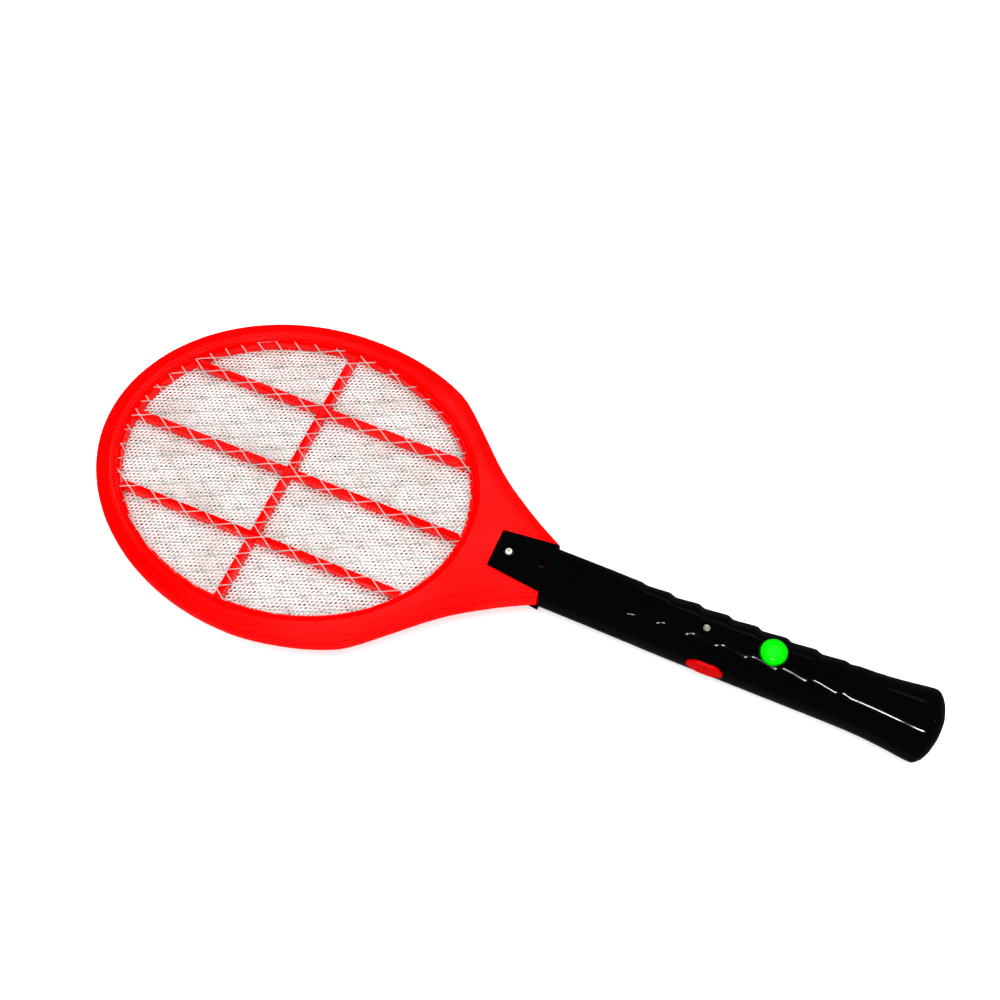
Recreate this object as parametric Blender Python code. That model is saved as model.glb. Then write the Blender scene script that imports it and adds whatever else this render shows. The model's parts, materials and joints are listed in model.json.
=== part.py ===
"""Electric fly swatter, racket type, lying flat with its front face up.

Lengths in the tables are millimetres. Along the handle they are measured from the centre of
the head, across it from the centre line, and in height from the parting plane of the shells.
place() turns them into world metres: the handle points along +X and the front face along +Z.
"""
import math

import bmesh
import bpy
from mathutils import Vector

MM = 0.001
GAP = 0.3

# Where the object lies in the world
HEAD_CENTRE_X = -113.1
PARTING_HEIGHT = 16.0

# Head
HEAD_HALF_LENGTH = 109.7
HEAD_HALF_WIDTH = 89.6
OPENING_CENTRE_X = -3.3
OPENING_HALF_LENGTH = 94.7
OPENING_HALF_WIDTH = 78.0
OPENING_END = OPENING_CENTRE_X + OPENING_HALF_LENGTH
RIM_HEIGHT = 10.9
RIM_EDGE_HEIGHT = 8.3
RIM_WALL = 1.8
THROAT_END = 138.7
PLUG_HALF_WIDTH = 9.4
PLUG_END = 150.0
THROAT_OUTLINE = ((60.0, 75.6), (67.5, 69.5), (75.0, 63.0), (84.0, 54.4), (93.0, 45.9),
                  (103.0, 37.7), (114.0, 30.2), (125.0, 23.4), (133.0, 19.0))

# Nets and the grids between them
NET_HEIGHT = 6.8
NET_THICKNESS = 0.6
NET_EDGE_CLEARANCE = 0.4
GRID_TOP = NET_HEIGHT - NET_THICKNESS / 2 - 0.05
GRID_BOTTOM = 0.5
RIB_WIDTH = 4.2
RIB_SPACING = 40.0
CROSS_RIB_X = -6.6
LEDGE_WIDTH = 0.9
FLANGE_WIDTH = 1.8
FLANGE_TOP = 1.5
OUTER_NET_CELL = (34.0, 19.2, 1.6)
CENTRE_NET_CELL = (20.0, 34.0, 1.2)

# Handle
WALL = 2.3
TONGUE_START = 110.0
TONGUE_BASE = RIM_HEIGHT + GAP
TONGUE_TOP = 13.4
HANDLE_START = 139.0
BACK_FLAT = 16.0
# distance, half width, height of the facet edge, facet share of the width, crown
HANDLE_STATIONS = ((146.0, 14.7, 13.5, 0.68, 0.25), (165.0, 14.7, 13.7, 0.66, 0.4),
                   (184.0, 14.8, 14.1, 0.56, 0.9), (205.0, 15.0, 14.5, 0.46, 1.5),
                   (298.0, 15.1, 14.6, 0.45, 1.6), (309.0, 15.7, 14.8, 0.45, 1.7),
                   (319.0, 16.8, 15.4, 0.45, 1.8), (328.5, 18.2, 16.2, 0.45, 1.9),
                   (332.6, 18.3, 16.1, 0.45, 1.9), (336.2, 17.2, 15.1, 0.45, 1.7),
                   (338.6, 15.0, 13.0, 0.45, 1.4), (339.8, 12.0, 10.4, 0.45, 1.0))
POMMEL_TURN = 334.0
INNER_DISTANCES = (139.6, 184.0, 205.0, 298.0, 319.0, 336.4)
WAVE_START = 191.0
WAVE_PITCH = 15.6
WAVE_COUNT = 7
WAVE_DEPTH = 0.45

# Buttons
PUSH_BUTTON_X = 254.9
PUSH_BUTTON_RADIUS = 6.5
PUSH_BUTTON_TOP = 19.0
SIDE_BUTTON_X = 227.0
SIDE_BUTTON_HALF = (9.4, 5.5)
SIDE_BUTTON_FACE = 15.7
BUTTON_TRAVEL = 1.2

# Screws: distance, top of the head, recess radius, lower end
SCREWS = {"tongue_screw": (117.3, 13.7, 2.3, -11.8),
          "throat_screw": (134.9, 7.4, 2.4, -11.8),
          "grip_screw": (221.3, 14.4, 2.6, -7.5)}
SCREW_RADIUS = 1.3
SCREW_HEAD_RADIUS = 2.1
SCREW_HEAD_HEIGHT = 1.4

# Inside the handle
BOARD = (153.0, 275.0, 11.0, 3.2, 4.4)
CELL_RADIUS = 7.1
CELL_LENGTH = 50.2
CELL_HEIGHT = -5.0
CELLS_START = 230.0
DOOR_START = 232.0
DOOR_HALF_WIDTH = 7.9
DOOR_FLANGE_HALF_WIDTH = 9.0

PARTS = "fly_swatter"
CUTTERS = "fly_swatter_cutters"


# ---------------------------------------------------------------- helpers

def place(x, y, z):
    """World point, in metres, for a design point in millimetres."""
    return Vector((HEAD_CENTRE_X + x, y, PARTING_HEIGHT + z)) * MM


def collection(name):
    """The named collection, made if it isn't there."""
    found = bpy.data.collections.get(name)
    if found is None:
        found = bpy.data.collections.new(name)
        bpy.context.scene.collection.children.link(found)
    return found


def make_material(name, colour, roughness, metallic=0.0):
    """A plain material with one colour."""
    material = bpy.data.materials.new(name)
    material.use_nodes = True
    shader = material.node_tree.nodes["Principled BSDF"]
    shader.inputs["Base Color"].default_value = (*colour, 1.0)
    shader.inputs["Roughness"].default_value = roughness
    shader.inputs["Metallic"].default_value = metallic
    return material


def add_object(name, bm, material, group=PARTS, smooth=False):
    """An object made of the mesh in bm, which is freed."""
    bmesh.ops.recalc_face_normals(bm, faces=bm.faces)
    mesh = bpy.data.meshes.new(name)
    bm.to_mesh(mesh)
    bm.free()
    thing = bpy.data.objects.new(name, mesh)
    if material is not None:
        mesh.materials.append(material)
    if smooth:
        mesh.shade_smooth()
    collection(group).objects.link(thing)
    return thing


def apply_boolean(thing, tool, operation):
    """Change thing's mesh by the tool's shape, and put the tool with the cutters."""
    modifier = thing.modifiers.new("shape", "BOOLEAN")
    modifier.operation = operation
    modifier.solver = "EXACT"
    modifier.object = tool
    graph = bpy.context.evaluated_depsgraph_get()
    result = bpy.data.meshes.new_from_object(thing.evaluated_get(graph))
    thing.modifiers.remove(modifier)
    old = thing.data
    thing.data = result
    bpy.data.meshes.remove(old)
    result.name = thing.name
    clean = bmesh.new()
    clean.from_mesh(result)
    bmesh.ops.remove_doubles(clean, verts=clean.verts, dist=0.000002)
    bmesh.ops.dissolve_degenerate(clean, edges=clean.edges, dist=0.000002)
    clean.to_mesh(result)
    clean.free()
    tool.hide_render = True
    tool.display_type = "WIRE"


def cut(thing, *tools):
    """Take each tool's shape out of thing."""
    for tool in tools:
        apply_boolean(thing, tool, "DIFFERENCE")


def join(thing, *tools):
    """Add each tool's shape to thing."""
    for tool in tools:
        apply_boolean(thing, tool, "UNION")


def box_mesh(x0, x1, y0, y1, z0, z1):
    """A box between two corners."""
    bm = bmesh.new()
    bmesh.ops.create_cube(bm, size=1.0)
    low = place(min(x0, x1), min(y0, y1), min(z0, z1))
    high = place(max(x0, x1), max(y0, y1), max(z0, z1))
    for vertex in bm.verts:
        share = vertex.co + Vector((0.5, 0.5, 0.5))
        vertex.co = Vector([low[i] + (high[i] - low[i]) * share[i] for i in range(3)])
    return bm


def box_tool(name, x0, x1, y0, y1, z0, z1):
    """A box that cuts or joins another piece."""
    return add_object(name, box_mesh(x0, x1, y0, y1, z0, z1), None, CUTTERS)


def loft_mesh(loops, closed=False, caps=True):
    """A skin through loops of points; closed joins the last loop to the first."""
    bm = bmesh.new()
    rows = [[bm.verts.new(point) for point in loop] for loop in loops]
    pairs = list(zip(rows, rows[1:]))
    if closed:
        pairs.append((rows[-1], rows[0]))
    count = len(rows[0])
    for row, following in pairs:
        for i in range(count):
            j = (i + 1) % count
            bm.faces.new((row[i], row[j], following[j], following[i]))
    if caps and not closed:
        bm.faces.new(rows[0])
        bm.faces.new(rows[-1])
    return bm


def ring(x, y, radius, z, count=24):
    """A level circle of points, with no point on the centre line."""
    turns = [2 * math.pi * (i + 0.5) / count for i in range(count)]
    return [place(x + radius * math.cos(turn), y + radius * math.sin(turn), z)
            for turn in turns]


def turned_mesh(x, y, profile, count=24):
    """A solid turned about a vertical axis, from (radius, height) pairs."""
    return loft_mesh([ring(x, y, radius, z, count) for radius, z in profile])


def post_tool(name, x, y, radius, z0, z1, count=24):
    """An upright cylinder that cuts or joins another piece."""
    return add_object(name, turned_mesh(x, y, ((radius, z0), (radius, z1)), count), None, CUTTERS)


def side_turned_mesh(x, z, profile, count=16):
    """A solid turned about an axis across the handle, from (radius, distance across) pairs."""
    turn = 2 * math.pi / count
    loops = [[place(x + r * math.cos(i * turn), y, z + r * math.sin(i * turn))
              for i in range(count)] for r, y in profile]
    return loft_mesh(loops)


def long_turned_mesh(y, z, profile, count=20):
    """A solid turned about an axis along the handle, from (radius, distance along) pairs."""
    turn = 2 * math.pi / count
    loops = [[place(x, y + r * math.cos(i * turn), z + r * math.sin(i * turn))
              for i in range(count)] for r, x in profile]
    return loft_mesh(loops)


def tube(name, points, radius, material, sides=3):
    """A round wire through points, made as a bevelled curve and turned into a mesh."""
    curve = bpy.data.curves.new(name, "CURVE")
    curve.dimensions = "3D"
    curve.bevel_depth = radius * MM
    curve.bevel_resolution = sides - 2
    curve.use_fill_caps = True
    spline = curve.splines.new("POLY")
    spline.points.add(len(points) - 1)
    for knot, point in zip(spline.points, points):
        knot.co = (*place(*point), 1.0)
    return mesh_from_curve(name, curve, material, True)


def mesh_from_curve(name, curve, material, smooth=False, group=PARTS):
    """Turn a curve's shape into the mesh of a new object."""
    holder = bpy.data.objects.new(name + "_curve", curve)
    bpy.context.scene.collection.objects.link(holder)
    graph = bpy.context.evaluated_depsgraph_get()
    mesh = bpy.data.meshes.new_from_object(holder.evaluated_get(graph))
    bpy.data.objects.remove(holder)
    bpy.data.curves.remove(curve)
    bm = bmesh.new()
    bm.from_mesh(mesh)
    bpy.data.meshes.remove(mesh)
    bmesh.ops.remove_doubles(bm, verts=bm.verts, dist=0.00001)
    return add_object(name, bm, material, group, smooth)


# ---------------------------------------------------------------- outlines

def ellipse_point(half_length, half_width, turn):
    """A point of an ellipse about the centre of the head."""
    return (half_length * math.cos(turn), half_width * math.sin(turn))


def opening_point(offset, turn):
    """A point of the opening's outline, moved outwards by an offset."""
    x, y = ellipse_point(OPENING_HALF_LENGTH + offset, OPENING_HALF_WIDTH + offset, turn)
    return (OPENING_CENTRE_X + x, y)


def head_outlines(steps=20):
    """The head's outer outline and its opening, as lists of paired points."""
    meet = math.acos(THROAT_OUTLINE[0][0] / HEAD_HALF_LENGTH)
    outer = []
    inner = []
    for i in range(steps):
        turn = math.pi + (meet - math.pi) * i / steps
        x, y = ellipse_point(HEAD_HALF_LENGTH, HEAD_HALF_WIDTH, turn)
        outer.append((x, y * (1 + 0.013 * min(1.0, max(0.0, x / 60.0)))))
        inner.append(opening_point(0.0, turn))
    throat = list(THROAT_OUTLINE) + [(THROAT_END, 16.0), (THROAT_END + 0.1, PLUG_HALF_WIDTH),
                                     (PLUG_END, PLUG_HALF_WIDTH - 0.2)]
    for i, point in enumerate(throat):
        turn = meet * (1 - i / len(throat)) ** 1.25
        outer.append(point)
        inner.append(opening_point(0.0, turn))
    half = list(zip(outer, inner))
    tip = ((PLUG_END, 0.0), (OPENING_END, 0.0))
    mirrored = [((a[0], -a[1]), (b[0], -b[1])) for a, b in reversed(half[1:])]
    pairs = half + [tip] + mirrored
    return [pair[0] for pair in pairs], [pair[1] for pair in pairs]


def inset(outline, distance):
    """The closed outline moved inwards by a distance, with mitred corners."""
    points = [Vector(point) for point in outline]
    count = len(points)
    moved = []
    for i in range(count):
        before = (points[i] - points[i - 1]).normalized()
        after = (points[(i + 1) % count] - points[i]).normalized()
        normal_a = Vector((before.y, -before.x))
        normal_b = Vector((after.y, -after.x))
        share = max(0.5, 1 + normal_a.dot(normal_b))
        moved.append(points[i] + (normal_a + normal_b) * distance / share)
    return [(point.x, point.y) for point in moved]


def opening_offset(inner, distance):
    """The opening's outline moved outwards by a distance."""
    grow_x = (OPENING_HALF_LENGTH + distance) / OPENING_HALF_LENGTH
    grow_y = (OPENING_HALF_WIDTH + distance) / OPENING_HALF_WIDTH
    return [(OPENING_CENTRE_X + (x - OPENING_CENTRE_X) * grow_x, y * grow_y)
            for x, y in inner]


# ---------------------------------------------------------------- head

def frame_rows(side):
    """A frame half's section: (from which edge, distance from it, height, throat inset)."""
    opening = (("opening", 3.4, RIM_HEIGHT, 0.0), ("opening", 1.0, RIM_HEIGHT - 0.8, 0.0),
               ("opening", 0.0, RIM_EDGE_HEIGHT, 0.0), ("opening", 0.0, FLANGE_TOP + GAP, 0.0),
               ("opening", RIM_WALL, FLANGE_TOP + GAP, 0.0),
               ("opening", RIM_WALL + 0.6, RIM_HEIGHT - 2.6, 0.0))
    if side > 0:
        outside = (("outer", 0.0, 0.15, 0.0), ("outer", 0.0, 5.8, 0.0),
                   ("outer", 0.8, 8.8, 0.0), ("outer", 2.8, RIM_HEIGHT - 0.3, 0.0))
        inside = (("outer", 3.8, RIM_HEIGHT - 2.6, 0.0), ("outer", 2.0, 6.2, 0.0),
                  ("outer", 2.0, 0.15, 0.0))
    else:
        outside = (("outer", 0.0, 0.15, 0.0), ("outer", 0.0, 1.0, 0.0),
                   ("outer", 0.3, 3.6, 1.5), ("outer", 1.0, 6.4, 3.0),
                   ("outer", 2.2, 8.8, 3.6), ("outer", 3.8, RIM_HEIGHT - 0.3, 3.6))
        inside = (("outer", 4.8, RIM_HEIGHT - 2.6, 3.6), ("outer", 3.0, 6.2, 3.0),
                  ("outer", 2.0, 0.15, 0.0))
    return outside + opening + inside


def throat_share(x):
    """How much of the throat's extra inset a point of the outline gets."""
    return min(1.0, max(0.0, (x - 5.0) / 45.0)) if x < THROAT_END + 0.05 else 0.0


def frame_half(name, side, material):
    """One half of the rim and throat; side is 1 for the front and -1 for the back."""
    outer, inner = head_outlines()
    loops = []
    for edge, distance, height, extra in frame_rows(side):
        outline = opening_offset(inner, distance)
        if edge == "outer":
            outline = [(x, y - math.copysign(extra * throat_share(start[0]), y))
                       for start, (x, y) in zip(outer, inset(outer, distance))]
        loops.append([place(x, y, side * height) for x, y in outline])
    frame = add_object(name, loft_mesh(loops, closed=True), material)
    for screw in ("tongue_screw", "throat_screw"):
        x, top, recess, end = SCREWS[screw]
        deep = side > 0 and top < RIM_HEIGHT
        radius = 4.2 if deep else 3.4
        join(frame, post_tool(name + "_" + screw + "_boss", x, 0, radius, side * 0.15,
                              side * (RIM_HEIGHT - 1.0)))
        cut(frame, post_tool(name + "_" + screw + "_hole", x, 0, SCREW_RADIUS + GAP,
                             side * -2, side * 12))
        if deep:
            cut(frame, post_tool(name + "_" + screw + "_recess", x, 0, recess,
                                 top - SCREW_HEAD_HEIGHT - GAP, 12))
    lead = box_tool(name + "_lead_hole", OPENING_END - 2, OPENING_END + 4, 3.4, 5.6,
                    side * 5.6, side * 7.9)
    leads_out = box_tool(name + "_leads_out", 146, 152, -6, 6, side * -1, side * 3)
    cut(frame, lead, leads_out)
    return frame


def spacer_grid(name, side, material):
    """A ring with three lengthwise ribs and one cross rib, between two nets."""
    section = ((-GAP, GRID_BOTTOM), (-GAP - LEDGE_WIDTH, GRID_BOTTOM),
               (-GAP - LEDGE_WIDTH, GRID_TOP), (-GAP, GRID_TOP), (-GAP, FLANGE_TOP),
               (FLANGE_WIDTH, FLANGE_TOP), (FLANGE_WIDTH, GRID_BOTTOM))
    loops = []
    for offset, height in section:
        loop = []
        for i in range(48):
            x, y = opening_point(offset, 2 * math.pi * i / 48)
            loop.append(place(x, y, side * height))
        loops.append(loop)
    grid = add_object(name, loft_mesh(loops, closed=True), material)
    half = RIB_WIDTH / 2
    reach = -GAP - LEDGE_WIDTH / 2
    low, high = side * (GRID_BOTTOM + 0.02), side * (GRID_TOP - 0.02)
    for row in (-1, 0, 1):
        y = row * RIB_SPACING
        end = rib_end(abs(y) + half, OPENING_HALF_WIDTH + reach, OPENING_HALF_LENGTH + reach)
        join(grid, box_tool(f"{name}_rib_{row + 2}", OPENING_CENTRE_X - end,
                            OPENING_CENTRE_X + end, y - half, y + half, low, high))
    end = rib_end(abs(CROSS_RIB_X - OPENING_CENTRE_X) + half, OPENING_HALF_LENGTH + reach,
                  OPENING_HALF_WIDTH + reach)
    join(grid, box_tool(name + "_cross_rib", CROSS_RIB_X - half, CROSS_RIB_X + half, -end, end,
                        low * 0.99, high * 0.995))
    cut(grid, box_tool(name + "_lead_slot", OPENING_END - 1, OPENING_END + 3, -0.9, 0.9,
                       side * 0.2, side * 0.9))
    return grid


def rib_end(across, half_across, half_along):
    """How far a rib reaches inside an ellipse at a distance across it."""
    return half_along * math.sqrt(1 - (across / half_across) ** 2)


def clipped(hole, half_long, half_wide, sides=48):
    """The part of a hole that lies inside an ellipse, as a list of points."""
    for i in range(sides):
        turn = 2 * math.pi * (i + 0.5) / sides
        normal = Vector((math.cos(turn) / half_long, math.sin(turn) / half_wide))
        kept = []
        for a, b in zip(hole, hole[1:] + hole[:1]):
            over_a = normal.dot(Vector(a)) - 1
            over_b = normal.dot(Vector(b)) - 1
            if over_a <= 0:
                kept.append(a)
            if over_a * over_b < 0:
                share = over_a / (over_a - over_b)
                kept.append((a[0] + (b[0] - a[0]) * share, a[1] + (b[1] - a[1]) * share))
        hole = kept
    return hole


def area(outline):
    """The area inside a closed outline."""
    pairs = zip(outline, outline[1:] + outline[:1])
    return abs(sum(a[0] * b[1] - b[0] * a[1] for a, b in pairs)) / 2


def net(name, height, cell, material):
    """A net: a thin plate inside the rim with diamond holes; cell is length, width, strand."""
    length, width, strand = cell
    half_long = OPENING_HALF_LENGTH - NET_EDGE_CLEARANCE
    half_wide = OPENING_HALF_WIDTH - NET_EDGE_CLEARANCE
    edge = [ellipse_point(half_long, half_wide, 2 * math.pi * i / 48) for i in range(48)]
    outlines = [edge]
    share = 1 - strand * math.hypot(1 / length, 1 / width)
    for i in range(-20, 21):
        for j in range(-20, 21):
            cx, cy = (i + j) * length / 2, (i - j) * width / 2
            hole = [(cx + dx * share * length / 2, cy + dy * share * width / 2)
                    for dx, dy in ((1, 0), (0, 1), (-1, 0), (0, -1))]
            hole = clipped(hole, half_long - 1.6, half_wide - 1.6)
            if area(hole) > 20:
                outlines.append(hole)
    curve = bpy.data.curves.new(name, "CURVE")
    curve.dimensions = "2D"
    curve.fill_mode = "BOTH"
    curve.extrude = NET_THICKNESS / 2 * MM
    for outline in outlines:
        spline = curve.splines.new("POLY")
        spline.points.add(len(outline) - 1)
        for knot, (x, y) in zip(spline.points, outline):
            knot.co = ((HEAD_CENTRE_X + OPENING_CENTRE_X + x) * MM, y * MM, 0.0, 1.0)
        spline.use_cyclic_u = True
    thing = mesh_from_curve(name, curve, material)
    for vertex in thing.data.vertices:
        vertex.co.z += (PARTING_HEIGHT + height) * MM
    return thing


# ---------------------------------------------------------------- handle

def wave(x):
    """How far the grip stands out at a distance along it."""
    end = WAVE_START + WAVE_PITCH * (WAVE_COUNT - 0.5)
    if x < WAVE_START - WAVE_PITCH / 2 or x > end:
        return 0.0
    return WAVE_DEPTH * math.cos(2 * math.pi * (x - WAVE_START) / WAVE_PITCH)


def handle_size(x):
    """Half width, facet edge height, facet share and crown at a distance along the handle."""
    for low, high in zip(HANDLE_STATIONS, HANDLE_STATIONS[1:]):
        if x <= high[0]:
            share = max(0.0, (x - low[0]) / (high[0] - low[0]))
            return [a + (b - a) * share for a, b in zip(low[1:], high[1:])]
    return list(HANDLE_STATIONS[-1][1:])


def outer_distances():
    """The distances along the handle at which its outer section is drawn."""
    fixed = [HANDLE_START + 0.6] + [station[0] for station in HANDLE_STATIONS]
    first, last = WAVE_START - WAVE_PITCH / 2, WAVE_START + WAVE_PITCH * (WAVE_COUNT - 0.5)
    waves = [first + i * WAVE_PITCH / 4 for i in range(4 * WAVE_COUNT + 1)]
    kept = [x for x in fixed if x < first - 2 or x > last + 2]
    return sorted(kept + waves)


def section(half_width, edge, facet_share, crown, steps=4):
    """Half a handle section, from the parting plane over the top and down again."""
    facet = half_width * facet_share
    rise = edge / math.sqrt(1 - facet_share ** 2)
    corner = math.acos(facet_share)
    side = [(half_width * math.cos(corner * i / steps), rise * math.sin(corner * i / steps))
            for i in range(steps + 1)]
    top = [(facet * (1 - 2 * i / steps), edge + crown * (1 - (1 - 2 * i / steps) ** 2))
           for i in range(1, steps)]
    return side + top + [(-y, z) for y, z in reversed(side)]


def back_height(x):
    """How far the back of the handle is from the parting plane at a distance."""
    return BACK_FLAT - max(0.0, (205.0 - x) / 66.0) * 2.6


def handle_section(x, front, thickness=0.0):
    """The front or back half section at a distance, inset by a thickness, height from 0.15."""
    half_width, edge, share, crown = handle_size(x)
    swell = wave(x) if thickness == 0.0 else 0.0
    half_width += swell
    if front:
        edge += 0.6 * swell
    else:
        edge = min(back_height(x), edge + crown) if x > POMMEL_TURN else back_height(x)
        share = 0.68 if x < POMMEL_TURN else 0.55
        crown = 0.0
    points = section(half_width - thickness, edge - thickness, share - thickness * 0.012, crown)
    return [(y, max(z, 0.15)) for y, z in points]


def tongue_section(share):
    """Outer and inner half sections of the tongue, from its tip (0) to the handle (1)."""
    half = 10.5 + 3.3 * share
    facet = 8.4 + 1.3 * share
    side = [(half + (facet - half) * i / 4, TONGUE_BASE + 0.5
             + (TONGUE_TOP - TONGUE_BASE - 0.5) * i / 4) for i in range(5)]
    top = [(facet * (1 - 2 * i / 4), TONGUE_TOP + 0.2 * (1 - (1 - 2 * i / 4) ** 2))
           for i in range(1, 4)]
    outer = side + top + [(-y, z) for y, z in reversed(side)]
    inner = [(y * 0.995, TONGUE_BASE) for y, z in outer]
    return outer, inner


def handle_loops(front):
    """Outer and inner half sections along one shell; the first three are the tongue's."""
    side = 1 if front else -1
    outer_loops = []
    inner_loops = []
    for x, share in ((TONGUE_START, 0.0), (TONGUE_START + 1.2, 0.05), (HANDLE_START, 1.0)):
        outer, inner = tongue_section(share)
        lower = 0.5 if x == TONGUE_START else 0.0
        outer_loops.append([place(x, y, side * (max(z - lower, TONGUE_BASE + 0.4)))
                            for y, z in outer])
        inner_loops.append([place(x, y, side * z) for y, z in inner])
    for x in outer_distances():
        outer_loops.append([place(x, y, side * z) for y, z in handle_section(x, front)])
    for x in INNER_DISTANCES:
        inner_loops.append([place(x, y, side * z)
                            for y, z in handle_section(min(x, 332.6), front, WALL)])
    return outer_loops, inner_loops


def shell_mesh(front):
    """A half shell of the handle: outer skin, inner skin, and the faces that join them."""
    outer_loops, inner_loops = handle_loops(front)
    bm = bmesh.new()
    outer = [[bm.verts.new(point) for point in loop] for loop in outer_loops]
    inner = [[bm.verts.new(point) for point in loop] for loop in inner_loops]
    count = len(outer[0])
    for rows in (outer, inner):
        for row, following in zip(rows, rows[1:]):
            for i in range(count - 1):
                bm.faces.new((row[i], row[i + 1], following[i + 1], following[i]))
    for edge in (0, count - 1):
        for k in range(3):
            bm.faces.new((outer[k][edge], outer[k + 1][edge], inner[k + 1][edge],
                          inner[k][edge]))
        bm.faces.new([row[edge] for row in outer[3:]] + [row[edge] for row in inner[:2:-1]])
    for i in range(count - 1):
        bm.faces.new((outer[0][i], outer[0][i + 1], inner[0][i + 1], inner[0][i]))
    bm.faces.new(outer[-1])
    bm.faces.new(inner[-1])
    bm.faces.new((outer[-1][0], outer[-1][-1], inner[-1][-1], inner[-1][0]))
    return bm


def screw_holes(shell, front):
    """Bosses and holes for the screws in one handle shell."""
    for name, (x, top, recess, end) in SCREWS.items():
        tag = ("front_" if front else "back_") + name
        if name == "grip_screw":
            reach = (BOARD[4] + GAP, 14.6) if front else (-15.0, BOARD[3] - GAP)
            join(shell, post_tool(tag + "_boss", x, 0, 4.0 if front else 3.4, *reach))
        if front:
            cut(shell, post_tool(tag + "_hole", x, 0, SCREW_RADIUS + GAP, -1, 18))
            seat = top - SCREW_HEAD_HEIGHT - GAP
            cut(shell, post_tool(tag + "_recess", x, 0, recess, seat, 18))
        else:
            cut(shell, post_tool(tag + "_hole", x, 0, SCREW_RADIUS + 0.15, end - 0.5, 5))


def oval(x, z, half, y, count=28):
    """An oval outline on the side of the grip, at a distance across."""
    turn = 2 * math.pi / count
    return [place(x + half[0] * math.cos(i * turn), y, z + half[1] * math.sin(i * turn))
            for i in range(count)]


def grow(half, distance):
    """Half sizes made larger all round."""
    return (half[0] + distance, half[1] + distance)


def side_button_hole(name):
    """The cutter for the side button's opening."""
    half = grow(SIDE_BUTTON_HALF, GAP)
    loops = [oval(SIDE_BUTTON_X, 0, half, -20), oval(SIDE_BUTTON_X, 0, half, -9)]
    return add_object(name, loft_mesh(loops), None, CUTTERS)


def front_shell(material):
    """The front half of the handle, with the button hole and the tongue."""
    shell = add_object("front_handle_shell", shell_mesh(True), material)
    screw_holes(shell, True)
    cut(shell, post_tool("push_button_hole", PUSH_BUTTON_X, 0, PUSH_BUTTON_RADIUS + GAP, 8, 20,
                         32))
    cut(shell, side_button_hole("front_side_button_hole"))
    return shell


def door_prism(name, slack):
    """The T-shaped bar that the door and its slot are both cut with."""
    half = DOOR_HALF_WIDTH + slack
    flange = DOOR_FLANGE_HALF_WIDTH + slack
    level = -(BACK_FLAT - WALL) + GAP
    shape = ((half, -20.0), (half, level - slack), (flange, level - slack),
             (flange, level + 1.0 + slack), (-flange, level + 1.0 + slack),
             (-flange, level - slack), (-half, level - slack), (-half, -20.0))
    start = DOOR_START - slack
    loops = [[place(x, y, z) for y, z in shape] for x in (start, 345.0)]
    return add_object(name, loft_mesh(loops), None, CUTTERS)


def back_shell(material):
    """The back half of the handle, with the door slot, the posts and the tongue."""
    shell = add_object("back_handle_shell", shell_mesh(False), material)
    screw_holes(shell, False)
    for i, x in enumerate((157.5, 199.0)):
        foot = 1.0 - back_height(x)
        join(shell, post_tool(f"board_post_{i + 1}", x, 0, 2.2, foot, BOARD[3] - GAP, 12))
    cut(shell, door_prism("door_slot", GAP))
    cut(shell, side_button_hole("back_side_button_hole"))
    return shell


def battery_door(material):
    """The door: the T bar, trimmed by the outside of the handle."""
    outer_loops, inner_loops = handle_loops(False)
    kept = [loop for loop in outer_loops if loop[0].x > place(205.0, 0, 0).x]
    body = add_object("handle_outside", loft_mesh(kept), None, CUTTERS)
    door = door_prism("battery_door", 0.0)
    collection(CUTTERS).objects.unlink(door)
    collection(PARTS).objects.link(door)
    door.data.materials.append(material)
    apply_boolean(door, body, "INTERSECT")
    return door


# ---------------------------------------------------------------- buttons and screws

def push_button(material):
    """Domed round button with a flange that stays under the shell."""
    r = PUSH_BUTTON_RADIUS
    top = PUSH_BUTTON_TOP
    profile = ((1.6, 9.3), (r + 1.0, 9.3), (r + 1.0, 10.3), (r, 10.3), (r, top - 3.4),
               (r - 0.5, top - 2.2), (r - 2.0, top - 0.9), (r - 4.4, top - 0.2), (0.6, top))
    return add_object("push_button", turned_mesh(PUSH_BUTTON_X, 0, profile, 32), material)


def side_button(material):
    """Oval button with a raised rim and a dished face."""
    face = SIDE_BUTTON_FACE
    rows = ((0.9, -10.0), (0.9, -10.8), (0.0, -10.8), (0.0, -face + 0.6), (-0.5, -face),
            (-1.2, -face), (-2.0, -face + 0.7), (-4.0, -face + 0.9))
    loops = [oval(SIDE_BUTTON_X, 0, grow(SIDE_BUTTON_HALF, offset), y) for offset, y in rows]
    return add_object("side_button", loft_mesh(loops), material)


def press_switches(body_material, plunger_material):
    """The two press switches on the board, each with its plunger."""
    x, top = PUSH_BUTTON_X, BOARD[4] + 0.05
    body = add_object("push_switch", box_mesh(x - 3, x + 3, -3, 3, top, top + 3.2),
                      body_material)
    cut(body, post_tool("push_switch_bore", x, 0, 1.9, top + 1.0, top + 5))
    add_object("push_switch_plunger", turned_mesh(x, 0, ((1.6, top + 2.4), (1.6, 9.0)), 16),
               plunger_material)
    x = SIDE_BUTTON_X
    body = add_object("side_switch", box_mesh(x - 3.2, x + 2.6, -8.6, -5.2, -2.8, 3.1),
                      body_material)
    bore = side_turned_mesh(x, 0, ((1.8, -10.0), (1.8, -5.6)))
    cut(body, add_object("side_switch_bore", bore, None, CUTTERS))
    plunger = side_turned_mesh(x, 0, ((1.4, -9.7), (1.4, -7.6)))
    add_object("side_switch_plunger", plunger, plunger_material)


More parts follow.
